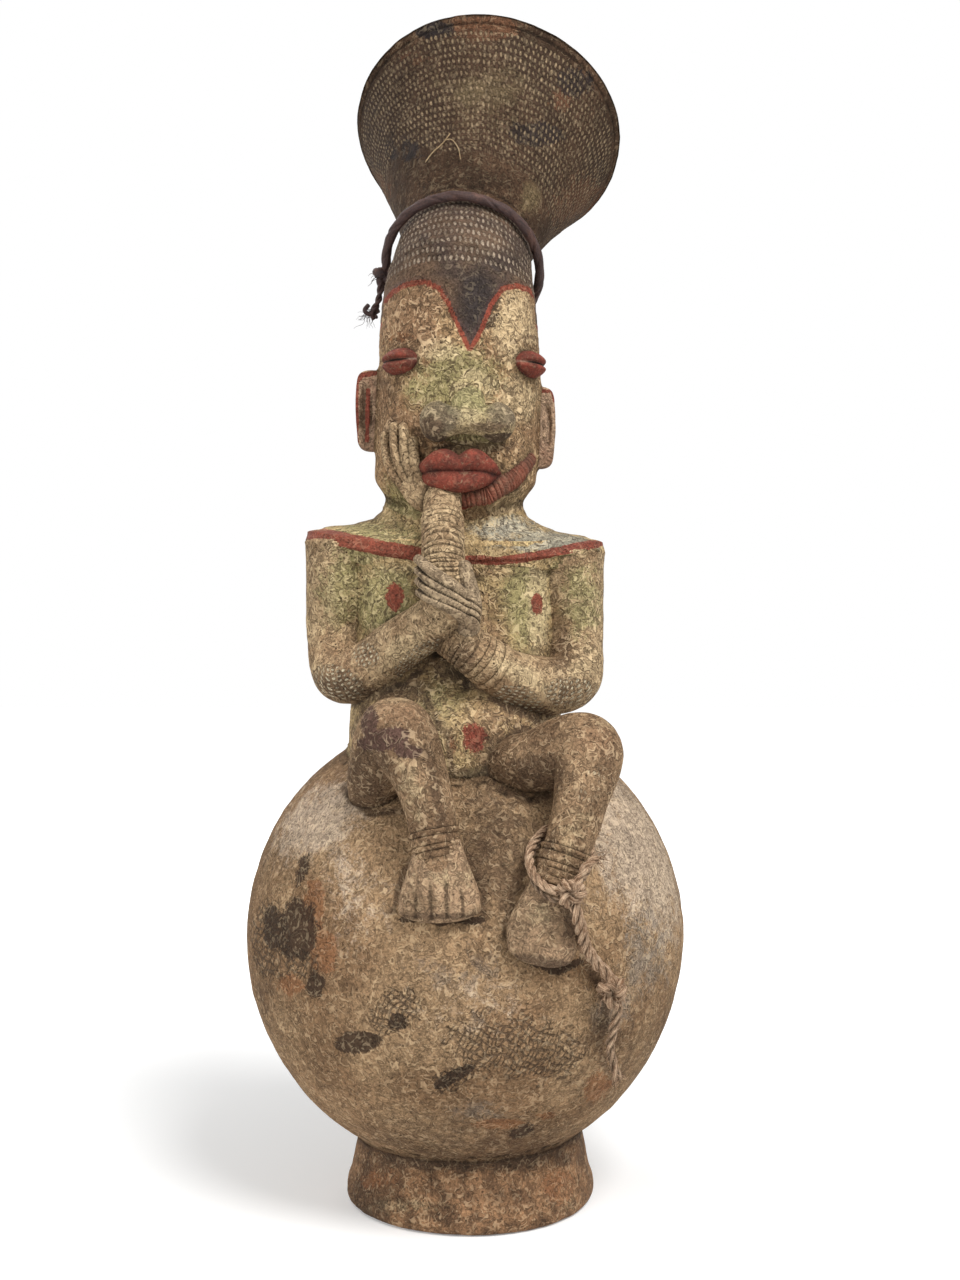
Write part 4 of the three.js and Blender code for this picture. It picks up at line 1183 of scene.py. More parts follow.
def shaped_eye(name, side):
    """A coffee-bean pellet, slit along its length between two thick lids."""
    half, high, proud = 12.5, 7.1, 7.6
    round_ = side * 50
    turn = math.radians(round_ + FACE_TURN)
    middle = on_head(0.56, round_, 0.5)
    rings = []
    for t in np.linspace(-1, 1, 110):
        size = math.sqrt(max(1 - t * t, 0))
        angle = np.arange(120) / 120 * 2 * math.pi
        y, z = -np.cos(angle) * size, np.sin(angle) * size
        deep = np.exp(-(z * high / 1.15) ** 2) * (y < 0)
        lid = np.exp(-((np.abs(z * high) - 2.6) / 1.3) ** 2) * (y < 0) * size
        y = y * proud * (1 + 0.1 * lid) + deep * 2.1 * size ** 0.5
        rings.append(np.stack([np.full(120, t * half), y, z * high], 1))
    flat = np.array(rings)
    c, s = math.cos(turn), math.sin(turn)
    spun = np.stack([flat[..., 0] * c - flat[..., 1] * s, flat[..., 0] * s + flat[..., 1] * c,
                     flat[..., 2]], -1)
    obj = skin(name, spun + middle)
    mark(obj, "slit", np.exp(-((places(obj)[:, 2] - middle[2]) / 0.5) ** 2))
    return obj


def shaped_nose():
    level, wing, turn = 0.36, 17.5, 1
    bar = skin("nose_bar", roll(
        [on_head(level, turn + wing * part, 6 - 1.5 * abs(part)) for part in (-1, -0.5, 0, 0.5, 1)],
        [(11, 10.6), (7.4, 7.4), (6.2, 6.6), (7.4, 7.4), (10.6, 10.4)], Z_AXIS, 48, 40))
    bridge = skin("nose_bridge", roll(
        [on_head(level + 0.17, turn, -5.5), on_head(level + 0.1, turn, -3.2),
         on_head(level + 0.045, turn, 0.5), on_head(level, turn, 3.5)],
        [(6, 3), (8, 4.5), (9.5, 6), (10, 6.5)], X_AXIS, 48, 24))
    return pressed_together("clay_nose", [bar, bridge], 0.7, 4)


def lip_route(half, centre):
    rows = [(-r, rise, out) for r, rise, out in half] + list(centre)
    rows += [(r, rise, out) for r, rise, out in reversed(half)]
    return [on_head(0.2 + rise, -3.8 + r, out) for r, rise, out in rows]


def shaped_lips():
    upper = skin("clay_upper_lip", roll(
        lip_route([(29, 0.006, 0.5), (20, 0.022, 3), (9, 0.04, 5)], [(0, 0.028, 5)]),
        [(1.2, 1.2), (4.2, 4), (6, 4.8), (4.8, 4.2), (6, 4.8), (4.2, 4), (1.2, 1.2)], Z_AXIS, 44, 90))
    lower = skin("clay_lower_lip", roll(
        lip_route([(28, -0.002, 0), (14, -0.017, 3.6)], [(0, -0.027, 5.4)]),
        [(1.2, 1.2), (4.6, 4.8), (5.6, 5.4), (4.6, 4.8), (1.2, 1.2)], Z_AXIS, 44, 90))
    return upper, lower


def shaped_jaw_band(count=25):
    """A strip notched into short rolls along the jaw."""
    rows = [(0, -3, 0.126, 3.8), (0.3, 16, 0.141, 5.0), (0.65, 37, 0.192, 4.4), (1, 57, 0.268, 2.8)]
    shares = np.linspace(0, 1, 14)
    line = [on_head(level, round_, 0.6) for round_, level, _ in (eased(rows, s) for s in shares)]
    sizes = [(eased(rows, s)[2], 2.6) for s in shares]
    rings = roll(line, sizes, Z_AXIS, 44, 300, swell=ridges(0.02, 0.99, count, 1.1))
    return skin("clay_jaw_band", rings)


ARM_X = SHELF_HALF - ARM_RADIUS - 1.5
ELBOW_Y = -CHEST_FRONT * 0.75
WRIST_Y = -CHEST_FRONT - ARM_RADIUS - WRIST_RADIUS * 1.35


def upper_arm(side):
    points = [at_figure(side * x, y, share) for x, y, share in
              ((ARM_X - 4, -12.5, 1.12), (ARM_X - 3, -13, 0.8), (ARM_X - 1.4, -15.5, 0.5))]
    return points, [(UPPER_ARM + 8, ARM_RADIUS + 5), (UPPER_ARM + 6, ARM_RADIUS + 4.2),
                    (UPPER_ARM - 1, ARM_RADIUS + 2)]


def shaped_limb(name, points, sizes, across, sides, steps, swell):
    rings = roll(points, sizes, across, sides, steps, swell)
    # An arm's upper end stays inside the shoulders.
    limit = SHELF_Z + 5 - SHELF_SLOPE * (rings[..., 0] - FIGURE_X) / SHELF_HALF
    if name.endswith("arm"):
        outer = np.abs(rings[..., 0] - FIGURE_X) > 45
        rings[..., 2] = np.where(outer & (rings[..., 2] > limit), limit, rings[..., 2])
    return skin(name, rings, run_of(rings))


def shaped_right_arm():
    points, sizes = upper_arm(-1)
    points += [
        at_figure(-ARM_X + 7, ELBOW_Y, 0.245), at_figure(-28, (ELBOW_Y + WRIST_Y) / 2, 0.45),
        at_figure(-5, WRIST_Y, 0.67), at_figure(-5, WRIST_Y + 3, 0.92), on_head(0.115, -13, 5)]
    sizes += [(ARM_RADIUS, ARM_RADIUS), (ARM_RADIUS - 0.5, ARM_RADIUS - 0.5),
              (WRIST_RADIUS + 1.5, WRIST_RADIUS + 1.5), (WRIST_RADIUS, WRIST_RADIUS),
              (WRIST_RADIUS - 0.5, WRIST_RADIUS - 0.5)]
    return shaped_limb("clay_right_arm", points, sizes, Y_AXIS, 76, 480,
                       ridges(0.815, 0.965, 12, 0.95))


def shaped_left_arm():
    points, sizes = upper_arm(1)
    points += [
        at_figure(ARM_X - 4, ELBOW_Y, 0.23), at_figure(ARM_X - 17, ELBOW_Y - 8, 0.19),
        at_figure(31, WRIST_Y + 18, 0.25), at_figure(8, WRIST_Y + 7, 0.42),
        at_figure(-3, WRIST_Y + 10, 0.52)]
    sizes += [(ARM_RADIUS + 1, ARM_RADIUS + 1), (ARM_RADIUS + 1, ARM_RADIUS + 1),
              (ARM_RADIUS - 0.5, ARM_RADIUS - 0.5), (WRIST_RADIUS + 0.3, WRIST_RADIUS + 0.3),
              (WRIST_RADIUS - 0.5, WRIST_RADIUS - 0.5)]
    return shaped_limb("clay_left_arm", points, sizes, Y_AXIS, 76, 480,
                       ridges(0.77, 0.97, 10, 1.15))


def shaped_left_hand():
    """A palm beside the right wrist and four fingers laid round the front of it."""
    grip, reach = -5, WRIST_RADIUS + 3.4
    parts = [skin("palm", roll(
        [at_figure(grip + 12, WRIST_Y + 1, 0.53), at_figure(grip + reach, WRIST_Y - 4, 0.67),
         at_figure(grip + reach - 3, WRIST_Y - 5, 0.9)], [(6.5, 6.5), (7.5, 6), (5, 4)],
        Y_AXIS, 40, 40))]

    def bend(angle, share, out):
        s, c = math.sin(math.radians(angle)), math.cos(math.radians(angle))
        return at_figure(grip + (reach + out) * s, WRIST_Y + 1 - (reach + out) * c, share)

    for i in range(4):
        tip, root = 0.945 - 0.064 * i, 0.69 - 0.032 * i
        parts.append(skin(f"finger_{i}", roll(
            [bend(-60 + 2 * i, tip, 0), bend(-22, (tip * 2 + root) / 3 + 0.015, 0.5),
             bend(26, (tip + root * 2) / 3, 0.8), bend(72, root - 0.02, 0.5)],
            [(2.7, 3.0), (3.2, 3.7), (3.3, 3.9), (3.7, 4.1)], Z_AXIS, 26, 40)))
    hand = pressed_together("clay_left_hand", parts, 0.55, 3)
    local = places(hand) - at_figure(grip, WRIST_Y + 1, 0)
    t = np.clip((np.degrees(np.arctan2(local[:, 0], -local[:, 1])) + 60) / 132, 0, 1.3)
    apart = 0.064 * (1 - t) + 0.034 * t
    index = (0.945 * (1 - t) + 0.67 * t - local[:, 2] / TORSO_HEIGHT) / apart
    off = (index - np.floor(index) - 0.5) * apart * TORSO_HEIGHT
    between_two = (index > 0) & (index < 3.1)
    grooved(hand, 1.25 * np.exp(-(off / 0.62) ** 2) * between_two * (1 - smooth(t, 0.95, 1.2)))
    return hand


def shaped_right_hand():
    """It cups the jaw, and its fingers fan out over the cheek."""
    slant = np.array([0.7, 0, 0.7])
    parts = [skin("palm", roll(
        [on_head(0.115, -19, 3.5), on_head(0.14, -27, 2.5), on_head(0.18, -35, 1.5)],
        [(7, 4.2), (8.5, 3.6), (8, 3.2)], slant, 40, 40))]
    for i, (round_, level) in enumerate(((-35, 0.305), (-43.5, 0.35), (-52.5, 0.355), (-62, 0.335))):
        parts.append(skin(f"finger_{i}", roll(
            [on_head(0.118, -20 - 4.5 * i, 3.5), on_head((0.13 + level) / 2, (round_ - 27 - 5 * i) / 2, 3),
             on_head(level, round_, 1.4)], [(2.6, 3.6), (2.9, 3.9), (2.7, 3)], slant, 26, 50)))
    return pressed_together("clay_right_hand", parts, 0.5, 1)


def leg_route(side):
    right = side < 0
    ankle = over_jar(-5.9, 29.5, 13) if right else over_jar(22.5, 23.5, 13)
    knee = at_figure(-28, -88, -0.065) if right else at_figure(66.5, -84, -0.16)
    thigh = ([at_figure(-38, -50, -0.53), at_figure(-38, -71, -0.3)] if right
             else [at_figure(14, -46, -0.33), at_figure(39, -68, -0.25)])
    shin = knee + (ankle - knee) * 0.5 + np.array([3, -3, 1])
    return thigh, knee, shin, ankle


def toes_of(side):
    return over_jar(-5, 13.2, 5.5) if side < 0 else over_jar(16.6, 3.6, 5.5)


def shaped_leg(name, side):
    thigh, knee, shin, ankle = leg_route(side)
    sizes = [(r, r) for r in (THIGH_RADIUS, THIGH_RADIUS + 0.5, KNEE_RADIUS, SHIN_RADIUS,
                              ANKLE_RADIUS)]
    across = unit(np.cross(knee - thigh[0], ankle - knee))
    low, count = (0.905, 4) if side < 0 else (0.885, 5)
    onward = ankle + (toes_of(side) - ankle) * (0.28 if side < 0 else 0.26)
    return shaped_limb(name, [*thigh, knee, shin, onward], sizes, across, 84, 400,
                       ridges(low, 0.995, count, 1.15))


def shaped_foot_of(name, side):
    """A wedge that widens to five toes; the left one is worn nearly smooth."""
    ankle = leg_route(side)[3]
    toes = toes_of(side)
    down, outward = unit(toes - ankle), unit(toes - np.array([JAR_X, JAR_Y, JAR_Z]))
    aside = -unit(np.cross(down, outward))

    def at(share, out):
        return ankle + (toes - ankle) * share + outward * out

    worn = side > 0
    wide = FOOT_HALF + 1.6
    sole = skin("sole", roll(
        [at(-0.08, 0), at(0.16, 0), at(0.45, 0), at(0.7, 0), at(0.9, 0)],
        [(ANKLE_RADIUS - 1.2, ANKLE_RADIUS - 1.4), (ANKLE_RADIUS + 1.6, ANKLE_RADIUS - 0.4),
         (FOOT_HALF - 2.5, FOOT_THICK * 0.64), (wide - 0.8, FOOT_THICK * 0.53),
         (wide - 3 * worn, FOOT_THICK * (0.46 + 0.06 * worn))], aside, 80, 70))
    obj = pressed_together(name, [sole], 0.7, 2 + 3 * worn)
    local = places(obj) - ankle
    across, on = local @ aside, local @ down / np.linalg.norm(toes - ankle)
    above = smooth(normals(obj) @ outward, -0.2, 0.5)
    toe = wide * 2 / 5.2
    off = (across / toe + 0.5 - np.floor(across / toe + 0.5) - 0.5) * toe
    between_toes = np.exp(-((np.abs(off) - toe / 2) / 2.0) ** 2) * (np.abs(across) < wide - 3)
    start = 0.42 + 0.0012 * across ** 2
    deep = (0.3 if worn else 1.7) * between_toes * above * smooth(on, start, start + 0.22)
    grooved(obj, deep)
    return obj


# Each clay piece: the part's node that it stands for, its slot, its look and who stands next to it

PIECES = {
    "globe": ("jar_globe", "tan_clay", "earth", "torso foot right_leg left_leg right_foot left_foot"),
    "foot": ("foot_ring", "tan_clay", "foot", "globe"),
    "torso": ("torso", "ochre_clay", "body", "globe shelf right_arm left_arm right_leg left_leg left_hand"),
    "shelf": ("shoulder_shelf", "ochre_clay", "body", "torso head right_arm left_arm"),
    "head": ("head", "ochre_clay", "face",
             "shelf right_ear left_ear right_eye left_eye nose upper_lip lower_lip jaw_band "
             "right_hand right_arm"),
    "coiffure": ("coiffure", "dark_clay", "hair", ""),
    "right_ear": ("right_ear", "tan_clay", "ears", "head"),
    "left_ear": ("left_ear", "tan_clay", "ears", "head"),
    "right_eye": ("right_eye", "red_clay", "paint", "head"),
    "left_eye": ("left_eye", "red_clay", "paint", "head"),
    "nose": ("nose", "ochre_clay", "nose", "head upper_lip"),
    "upper_lip": ("upper_lip", "red_clay", "paint", "head lower_lip nose right_hand"),
    "lower_lip": ("lower_lip", "red_clay", "paint", "head upper_lip jaw_band"),
    "jaw_band": ("jaw_band", "red_clay", "rubbed", "head lower_lip"),
    "right_arm": ("right_arm", "tan_clay", "arms", "torso shelf left_hand left_arm head right_leg"),
    "left_arm": ("left_arm", "tan_clay", "arms", "torso shelf left_hand right_arm left_leg"),
    "right_hand": ("right_hand", "ochre_clay", "arms", "head right_arm upper_lip"),
    "left_hand": ("left_hand", "tan_clay", "hands", "right_arm left_arm torso"),
    "right_leg": ("right_leg", "tan_clay", "legs", "globe torso right_arm"),
    "left_leg": ("left_leg", "tan_clay", "legs", "globe torso left_arm"),
    "right_foot": ("right_foot", "tan_clay", "feet", "globe"),
    "left_foot": ("left_foot", "tan_clay", "feet", "globe"),
}

# Where the colours lie, by places in the photograph's frame

ROPE_SHADE = [(566, 892), (574, 914), (579, 936), (586, 960), (598, 979), (608, 1004), (603, 1029),
              (599, 1047), (605, 1066), (612, 1080)]
FOREHEAD_LINE = [(384, 300), (392, 291), (408, 282), (425, 280), (440, 287), (450, 303),
                 (458, 322), (470, 347), (479, 330), (490, 303), (502, 287), (517, 284),
                 (530, 289), (540, 299)]
STAINED = {
    "globe": {
        "soot": [(298, 930, 20, 30, 1, 0.6, 12), (272, 925, 9, 22, 1, 0.6), (316, 985, 9, 14, 1, 0.7),
                 (358, 1042, 24, 11, 1, 0.4, -8), (398, 1022, 11, 8, 1, 0.5), (455, 1076, 22, 6, 1, 0.4, -28),
                 (303, 868, 7, 20, 0.7, 0.8, 12), (520, 1130, 16, 7, 0.7, 0.7, -20),
                 # These two lines are painted shadows under the right and the left foot.
                 ([(401, 919), (440, 923), (481, 920)], 6, 4, 0.9),
                 ([(510, 936), (528, 961), (556, 972), (580, 961)], 7, 5, 0.9)],
        "rust": [(314, 905, 12, 26, 1, 0.7), (322, 950, 12, 24, 1, 0.7), (290, 985, 14, 10, 1, 0.7),
                 (597, 1086, 11, 16, 1, 0.7, 30), (500, 1124, 26, 5, 1, 0.7), (545, 1116, 12, 4, 0.8, 0.7),
                 (468, 1172, 60, 4, 0.5)],
        "slate": [(642, 955, 22, 46, 0.8, 0.9), (612, 1010, 20, 22, 0.8, 0.9),
                  (480, 1112, 36, 12, 0.6, 0.9)],
        "cream": [(640, 850, 44, 90, 1, 0.8, -15), (320, 820, 56, 30, 0.9, 0.8, -38),
                  (350, 890, 34, 50, 0.5, 0.9), (470, 1000, 70, 50, 0.4, 0.9)],
        "shade": [(495, 855, 44, 80, 0.75, 0.7), (470, 960, 70, 30, 0.4, 0.9),
                  (470, 1150, 150, 40, 0.65, 0.7), (600, 1060, 50, 60, 0.5, 0.8, 35),
                  (262, 1010, 16, 70, 0.5, 0.8, 12),
                  ([(393, 912), (404, 870), (418, 850)], 6, 6),
                  ([(484, 916), (478, 870), (466, 846)], 7, 6),
                  ([(504, 930), (512, 895), (526, 868)], 7, 6), (ROPE_SHADE, 10, 8, 0.9),
                  ([(345, 790), (370, 812), (408, 812)], 9, 8), ([(500, 790), (530, 800), (548, 796)], 9, 8)],
        "all_round": {"soot": (0.1, 46, 3), "rust": (0.14, 38, 5), "slate": (0.16, 52, 7)},
    },
    "foot": {
        "rust": [(560, 1185, 22, 18, 0.7), (380, 1180, 20, 12, 0.6)],
        "cream": [(400, 1205, 40, 8, 0.6, 0.9), (570, 1190, 14, 20, 0.5, 0.9)],
        "shade": [(470, 1160, 120, 12, 0.9, 0.6), (366, 1205, 20, 40, 0.85),
                  (590, 1205, 12, 40, 0.5, 0.7)],
        "all_round": {"rust": (0.16, 24, 2), "soot": (0.14, 30, 4), "cream": (0.1, 20, 6)},
    },
    "torso": {
        "green": [(385, 605, 34, 42), (525, 600, 26, 52), (440, 700, 34, 34, 0.6),
                  (480, 775, 20, 8)],
        "cream": [(538, 610, 11, 62), (395, 566, 20, 8, 0.6), (442, 730, 16, 22, 0.7, 0.9)],
        "red": [(394, 597, 9, 13, 1, 0.7), (537, 604, 6, 11, 1, 0.7), (473, 739, 13, 14, 1, 0.8, 20)],
        "rust": [(470, 742, 20, 17, 0.6)],
        "bare": [(490, 640, 26, 50, 0.7, 0.9), (480, 572, 40, 8, 0.8, 0.9), (500, 735, 60, 44, 0.75, 0.9)],
        "shade": [(400, 695, 34, 16, 0.9, 0.7, -15), (450, 672, 26, 14, 0.9, 0.8, 30),
                  ([(452, 668), (500, 700), (540, 722), (562, 729)], 12, 14),
                  ([(440, 652), (400, 692), (350, 702)], 12, 14),
                  ([(352, 735), (368, 700), (395, 684), (427, 700), (448, 742), (454, 790)], 10, 16),
                  (530, 738, 40, 10, 0.8, 0.8, 30), (480, 778, 60, 12, 0.9), (372, 650, 8, 30, 0.8, 0.9),
                  (430, 760, 10, 30, 0.8, 0.9)],
        "all_round": {"green": (0.2, 30, 1), "soot": (0.1, 28, 8), "cream": (0.12, 22, 9)},
    },
    "shelf": {
        "red": [([(306, 532), (350, 541), (386, 549), (418, 554)], 15, 5),
                ([(460, 560), (500, 561), (530, 557), (560, 551), (585, 546), (604, 541)], 9, 4)],
        "green": [(370, 540, 60, 22, 0.8, 0.7), (345, 575, 30, 30), (575, 570, 26, 26)],
        "slate": [(545, 541, 50, 12, 1, 0.9), (505, 528, 30, 14, 0.9, 0.9)],
        "shade": [(572, 562, 16, 8, 0.9)],
        "all_round": {"green": (0.3, 30, 4), "slate": (0.14, 24, 6)},
    },
    "head": {
        "red": [(FOREHEAD_LINE, 8, 3), (460, 499, 18, 9, 1, 0.4, 12)],
        "soot": [(478, 296, 22, 34, 0.95, 0.6), (505, 262, 24, 14, 0.8)],
        "slate": [(492, 268, 24, 12, 0.4)],
        "bare": [(402, 325, 36, 34, 1, 0.7), (428, 298, 20, 16), (385, 405, 16, 44),
                 (425, 420, 30, 20, 0.7), (400, 258, 26, 24, 1, 0.9), (520, 440, 20, 26, 0.6, 0.9)],
        "green": [(460, 375, 42, 30), (440, 395, 34, 24), (475, 440, 30, 10),
                  (408, 505, 24, 34)],
        "cream": [(515, 328, 24, 38, 1, 0.9), (520, 400, 22, 26), (475, 385, 26, 18, 0.8),
                  (508, 512, 20, 30), (436, 350, 22, 12)],
        "rust": [(440, 270, 14, 10, 0.4), (392, 340, 26, 8, 0.5, 0.9)],
        "shade": [(470, 447, 44, 7, 0.9, 0.7), (380, 385, 16, 10, 0.6, 0.9), (530, 350, 24, 6, 0.5, 0.9),
                  ([(384, 345), (402, 340), (418, 347)], 4, 5, 0.6),
                  ([(512, 343), (530, 336), (547, 343)], 5, 5, 0.9)],
        "all_round": {"soot": (0.16, 30, 3), "green": (0.14, 24, 5), "cream": (0.12, 26, 7)},
    },
    "coiffure": {
        "rust": [(488, 28, 34, 13, 0.8, 0.7), (562, 100, 10, 14, 0.8), (578, 205, 26, 34, 0.7, 0.8, 30),
                 (420, 58, 24, 8, 0.5), (380, 190, 10, 24, 0.7, 0.8, -20)],
        "soot": [(575, 82, 18, 14, 0.9, 0.7, 20), (535, 135, 30, 12, 0.9, 0.7), (432, 30, 20, 10, 0.9, 0.6),
                 (405, 150, 26, 14, 0.5)],
        "bare": [(530, 196, 10, 18, 0.9, 0.7), (487, 92, 44, 30, 0.7, 0.9)],
        "shade": [(382, 115, 34, 75, 0.95, 0.9, 12), (470, 182, 70, 12, 0.7), (600, 150, 16, 50, 0.6)],
        "all_round": {"rust": (0.16, 34, 2), "soot": (0.16, 30, 5), "bare": (0.1, 26, 6)},
    },
    "right_ear": {"red": [([(356, 382), (362, 375), (376, 373)], 5, 3), ([(356, 384), (356, 446)], 5, 3),
                               ([(368, 390), (367, 440)], 4, 4)],
                       "shade": [(366, 415, 7, 34)], "all_round": {"soot": (0.2, 12, 3)}},
    "left_ear": {"red": [([(541, 391), (552, 391), (555, 402)], 4, 3)],
                      "shade": [(548, 420, 4, 26, 0.6)], "all_round": {"soot": (0.2, 12, 4)}},
    "nose": {
        "slate": [(437, 419, 23, 19, 1, 0.5), (503, 414, 17, 16, 1, 0.5)],
        # A painted shadow under the nose.
        "soot": [([(422, 441), (470, 444), (516, 437)], 13, 8)],
        "shade": [(430, 426, 14, 12, 1, 0.7), (490, 427, 24, 6)],
        "cream": [(470, 415, 16, 9, 0.8), (502, 402, 9, 5)],
        "green": [(468, 400, 26, 20, 1, 0.7)],
    },
    "right_arm": {
        "green": [(345, 590, 30, 40, 0.9, 0.9)],
        "bare": [(345, 660, 30, 30, 0.7, 0.9)],
        "cream": [(408, 648, 30, 14, 0.9, 0.9, -35), (330, 600, 10, 40, 0.6, 0.9)],
        "shade": [(345, 690, 36, 14, 0.95, 0.8, 10), (410, 684, 30, 6, 0.7, 0.8, -35),
                  (374, 640, 12, 20, 0.7, 0.8, 30)],
        "all_round": {"green": (0.16, 26, 4), "soot": (0.12, 22, 6)},
    },
    "left_arm": {
        "green": [(580, 600, 22, 40, 0.8, 0.9)],
        "cream": [(520, 674, 32, 9, 1, 0.9, 25), (580, 670, 20, 12, 0.7, 0.9)],
        "shade": [(530, 712, 40, 7, 1, 0.8, 12), (562, 650, 10, 40, 0.8, 0.9), (462, 660, 16, 16, 0.9, 0.9)],
        "all_round": {"green": (0.16, 26, 5), "soot": (0.12, 22, 7)},
    },
    "right_leg": {
        "soot": [(384, 739, 27, 10, 1, 0.5, -12), (408, 751, 13, 7, 1, 0.5, 10), (369, 724, 8, 18, 1, 0.6)],
        "bare": [(400, 712, 24, 14, 0.8, 0.9)],
        "cream": [(412, 790, 13, 34, 0.6, 0.9, -12), (398, 700, 16, 5, 0.7, 0.9)],
        "shade": [(368, 780, 20, 44), (436, 790, 7, 50, 0.8, 0.8, -14), (384, 738, 28, 12, 1, 0.8, -10),
                  (408, 748, 14, 9, 1, 0.8, 10)],
        "all_round": {"soot": (0.16, 20, 2)},
    },
    "left_leg": {
        "bare": [(600, 740, 26, 20, 0.7, 0.9)],
        "cream": [(610, 722, 18, 8, 0.7, 0.9), (575, 830, 14, 30, 0.5, 0.9, 25)],
        "shade": [(540, 772, 30, 18), (612, 770, 6, 30, 0.6, 0.9), (548, 850, 7, 26, 0.6, 0.8, 20)],
        "all_round": {"soot": (0.14, 20, 3)},
    },
    "left_foot": {
        "shade": [(545, 962, 34, 6, 1, 0.8, 10), (570, 930, 8, 24, 0.8, 0.9)],
        "cream": [(540, 915, 14, 12, 0.6, 0.9)],
        "all_round": {"soot": (0.12, 16, 5)},
    },
    "right_foot": {
        "cream": [(440, 880, 30, 12, 0.5, 0.9)],
        "shade": [(440, 916, 40, 3, 1, 0.9)],
        "all_round": {"soot": (0.1, 14, 5)},
    },
}

# Where cord was rolled or pressed: spots or lines in the photograph's frame

PRESSED = {
    "globe": {
        "net": [(272, 938, 20, 40, 1, 0.3), (395, 1012, 28, 20, 1, 0.4, -40),
                (515, 1046, 66, 34, 1, 0.5, 8), (300, 965, 18, 14, 1, 0.5),
                (452, 1078, 24, 12, 1, 0.4, -30)],
    },
    "right_arm": {
        "stipple": [(338, 682, 26, 16, 1, 0.4, 20), (420, 658, 30, 12, 1, 0.5, -35),
                    (366, 655, 12, 12, 1, 0.5)],
    },
    "left_arm": {
        "stipple": [(572, 692, 28, 14, 1, 0.4), (520, 700, 26, 12, 1, 0.5, 20)],
    },
    "left_leg": {"stipple": [(592, 785, 18, 30, 0.4, 0.6, 20)]},
}


def pressed(obj, places_of):
    """Masks of cord marks, from spots and lines in the photograph's frame."""
    seen, front = on_picture(places(obj)), facing(obj)
    for name, made in places_of.items():
        mark(obj, name, covered(seen, made) * front)


def head_shares(points):
    """Each point's share of the head's length, from the section it lies in."""
    shares = np.linspace(0, 1, 81)
    best, at = np.full(len(points), 1e9), np.zeros(len(points))
    for share in shares:
        middle, turn = head_frame(share)
        off = np.abs((points - middle) @ (turn @ Z_AXIS))
        closer = off < best
        best[closer], at[closer] = off[closer], share
    return at


# Finishes

def clay_looks(colours):
    """The clay's materials, by the name of each finish."""
    red = tuple(colours.red_earth)
    soot = tuple(colours.soot)
    stipple = cord_rows("stipple", 3.1, 2.7, 15.0, 0.0, (0.46, 0.39, 0.27), (0.14, 0.095, 0.06),
                        1.3, 0.6, 0.36, 0.3, 1.2)
    funnel = cord_rows("stamp", 4.0, 3.0, 34.5, 0.417, (0.21, 0.15, 0.09),
                       (0.04, 0.026, 0.019), 1.7, 1.4, 0.39, 0.31, 0.88)
    band = cord_rows("band", 3.5, 3.1, 42.0, 0.0, (0.29, 0.225, 0.165), (0.055, 0.038, 0.03),
                     1.5, 0.6, 0.38, 0.33, 0.9)

    def clay(name, ground, second, broad, contrast, flecks, crease, marks=(), **tones):
        return clay_material(name, ground, second, broad, contrast, flecks, crease, marks,
                             {"red": red, "soot": soot, **tones})

    return {
        "earth": clay("earth_clay", tuple(colours.earth), (0.215, 0.13, 0.07), 17, 1.05, 0.8, 1.0,
                      (net_marks,), cream=(0.55, 0.445, 0.34)),
        "foot": clay("foot_clay", (0.26, 0.145, 0.075), (0.13, 0.073, 0.04), 60, 1.2, 0.9, 0.9),
        "body": clay("body_clay", (0.4, 0.285, 0.14), (0.26, 0.175, 0.085), 40, 1.2, 1.25, 0.95,
                     slate=(0.3, 0.3, 0.25)),
        "face": clay("face_clay", (0.34, 0.22, 0.115), (0.23, 0.135, 0.07), 44, 1.2, 1.3, 0.9,
                     (capped, band)),
        "hair": clay("smoked_clay", (0.078, 0.045, 0.027), (0.04, 0.024, 0.015), 24, 1.25, 0.4, 0.7,
                     (brushed, funnel), rust=(0.15, 0.068, 0.036), bare=(0.17, 0.125, 0.065),
                     soot=(0.022, 0.018, 0.018), shade=(0.035, 0.021, 0.013)),
        "ears": clay("ear_clay", (0.42, 0.28, 0.18), (0.28, 0.165, 0.105), 60, 1.0, 0.7, 0.6),
        "nose": clay("nose_clay", (0.34, 0.26, 0.135), (0.25, 0.185, 0.1), 60, 1.1, 1.0, 0.9,
                     slate=(0.11, 0.085, 0.06)),
        "arms": clay("arm_clay", (0.38, 0.27, 0.155), (0.26, 0.17, 0.095), 48, 1.15, 1.1, 0.95,
                     (stipple,)),
        "hands": clay("hand_clay", (0.36, 0.265, 0.165), (0.24, 0.17, 0.105), 60, 1.0, 0.9, 1.0),
        "legs": clay("leg_clay", (0.27, 0.175, 0.1), (0.165, 0.102, 0.058), 44, 1.15, 1.0, 0.95,
                     (stipple,), soot=(0.085, 0.048, 0.038)),
        "feet": clay("toe_clay", (0.32, 0.21, 0.125), (0.2, 0.13, 0.075), 60, 1.0, 0.9, 0.7),
        "paint": paint_material("red_paint", red, (red[0] * 0.55, red[1] * 0.7, red[2] * 0.75)),
        "rubbed": paint_material("rubbed_paint", (0.25, 0.085, 0.052), (0.17, 0.075, 0.048)),
    }


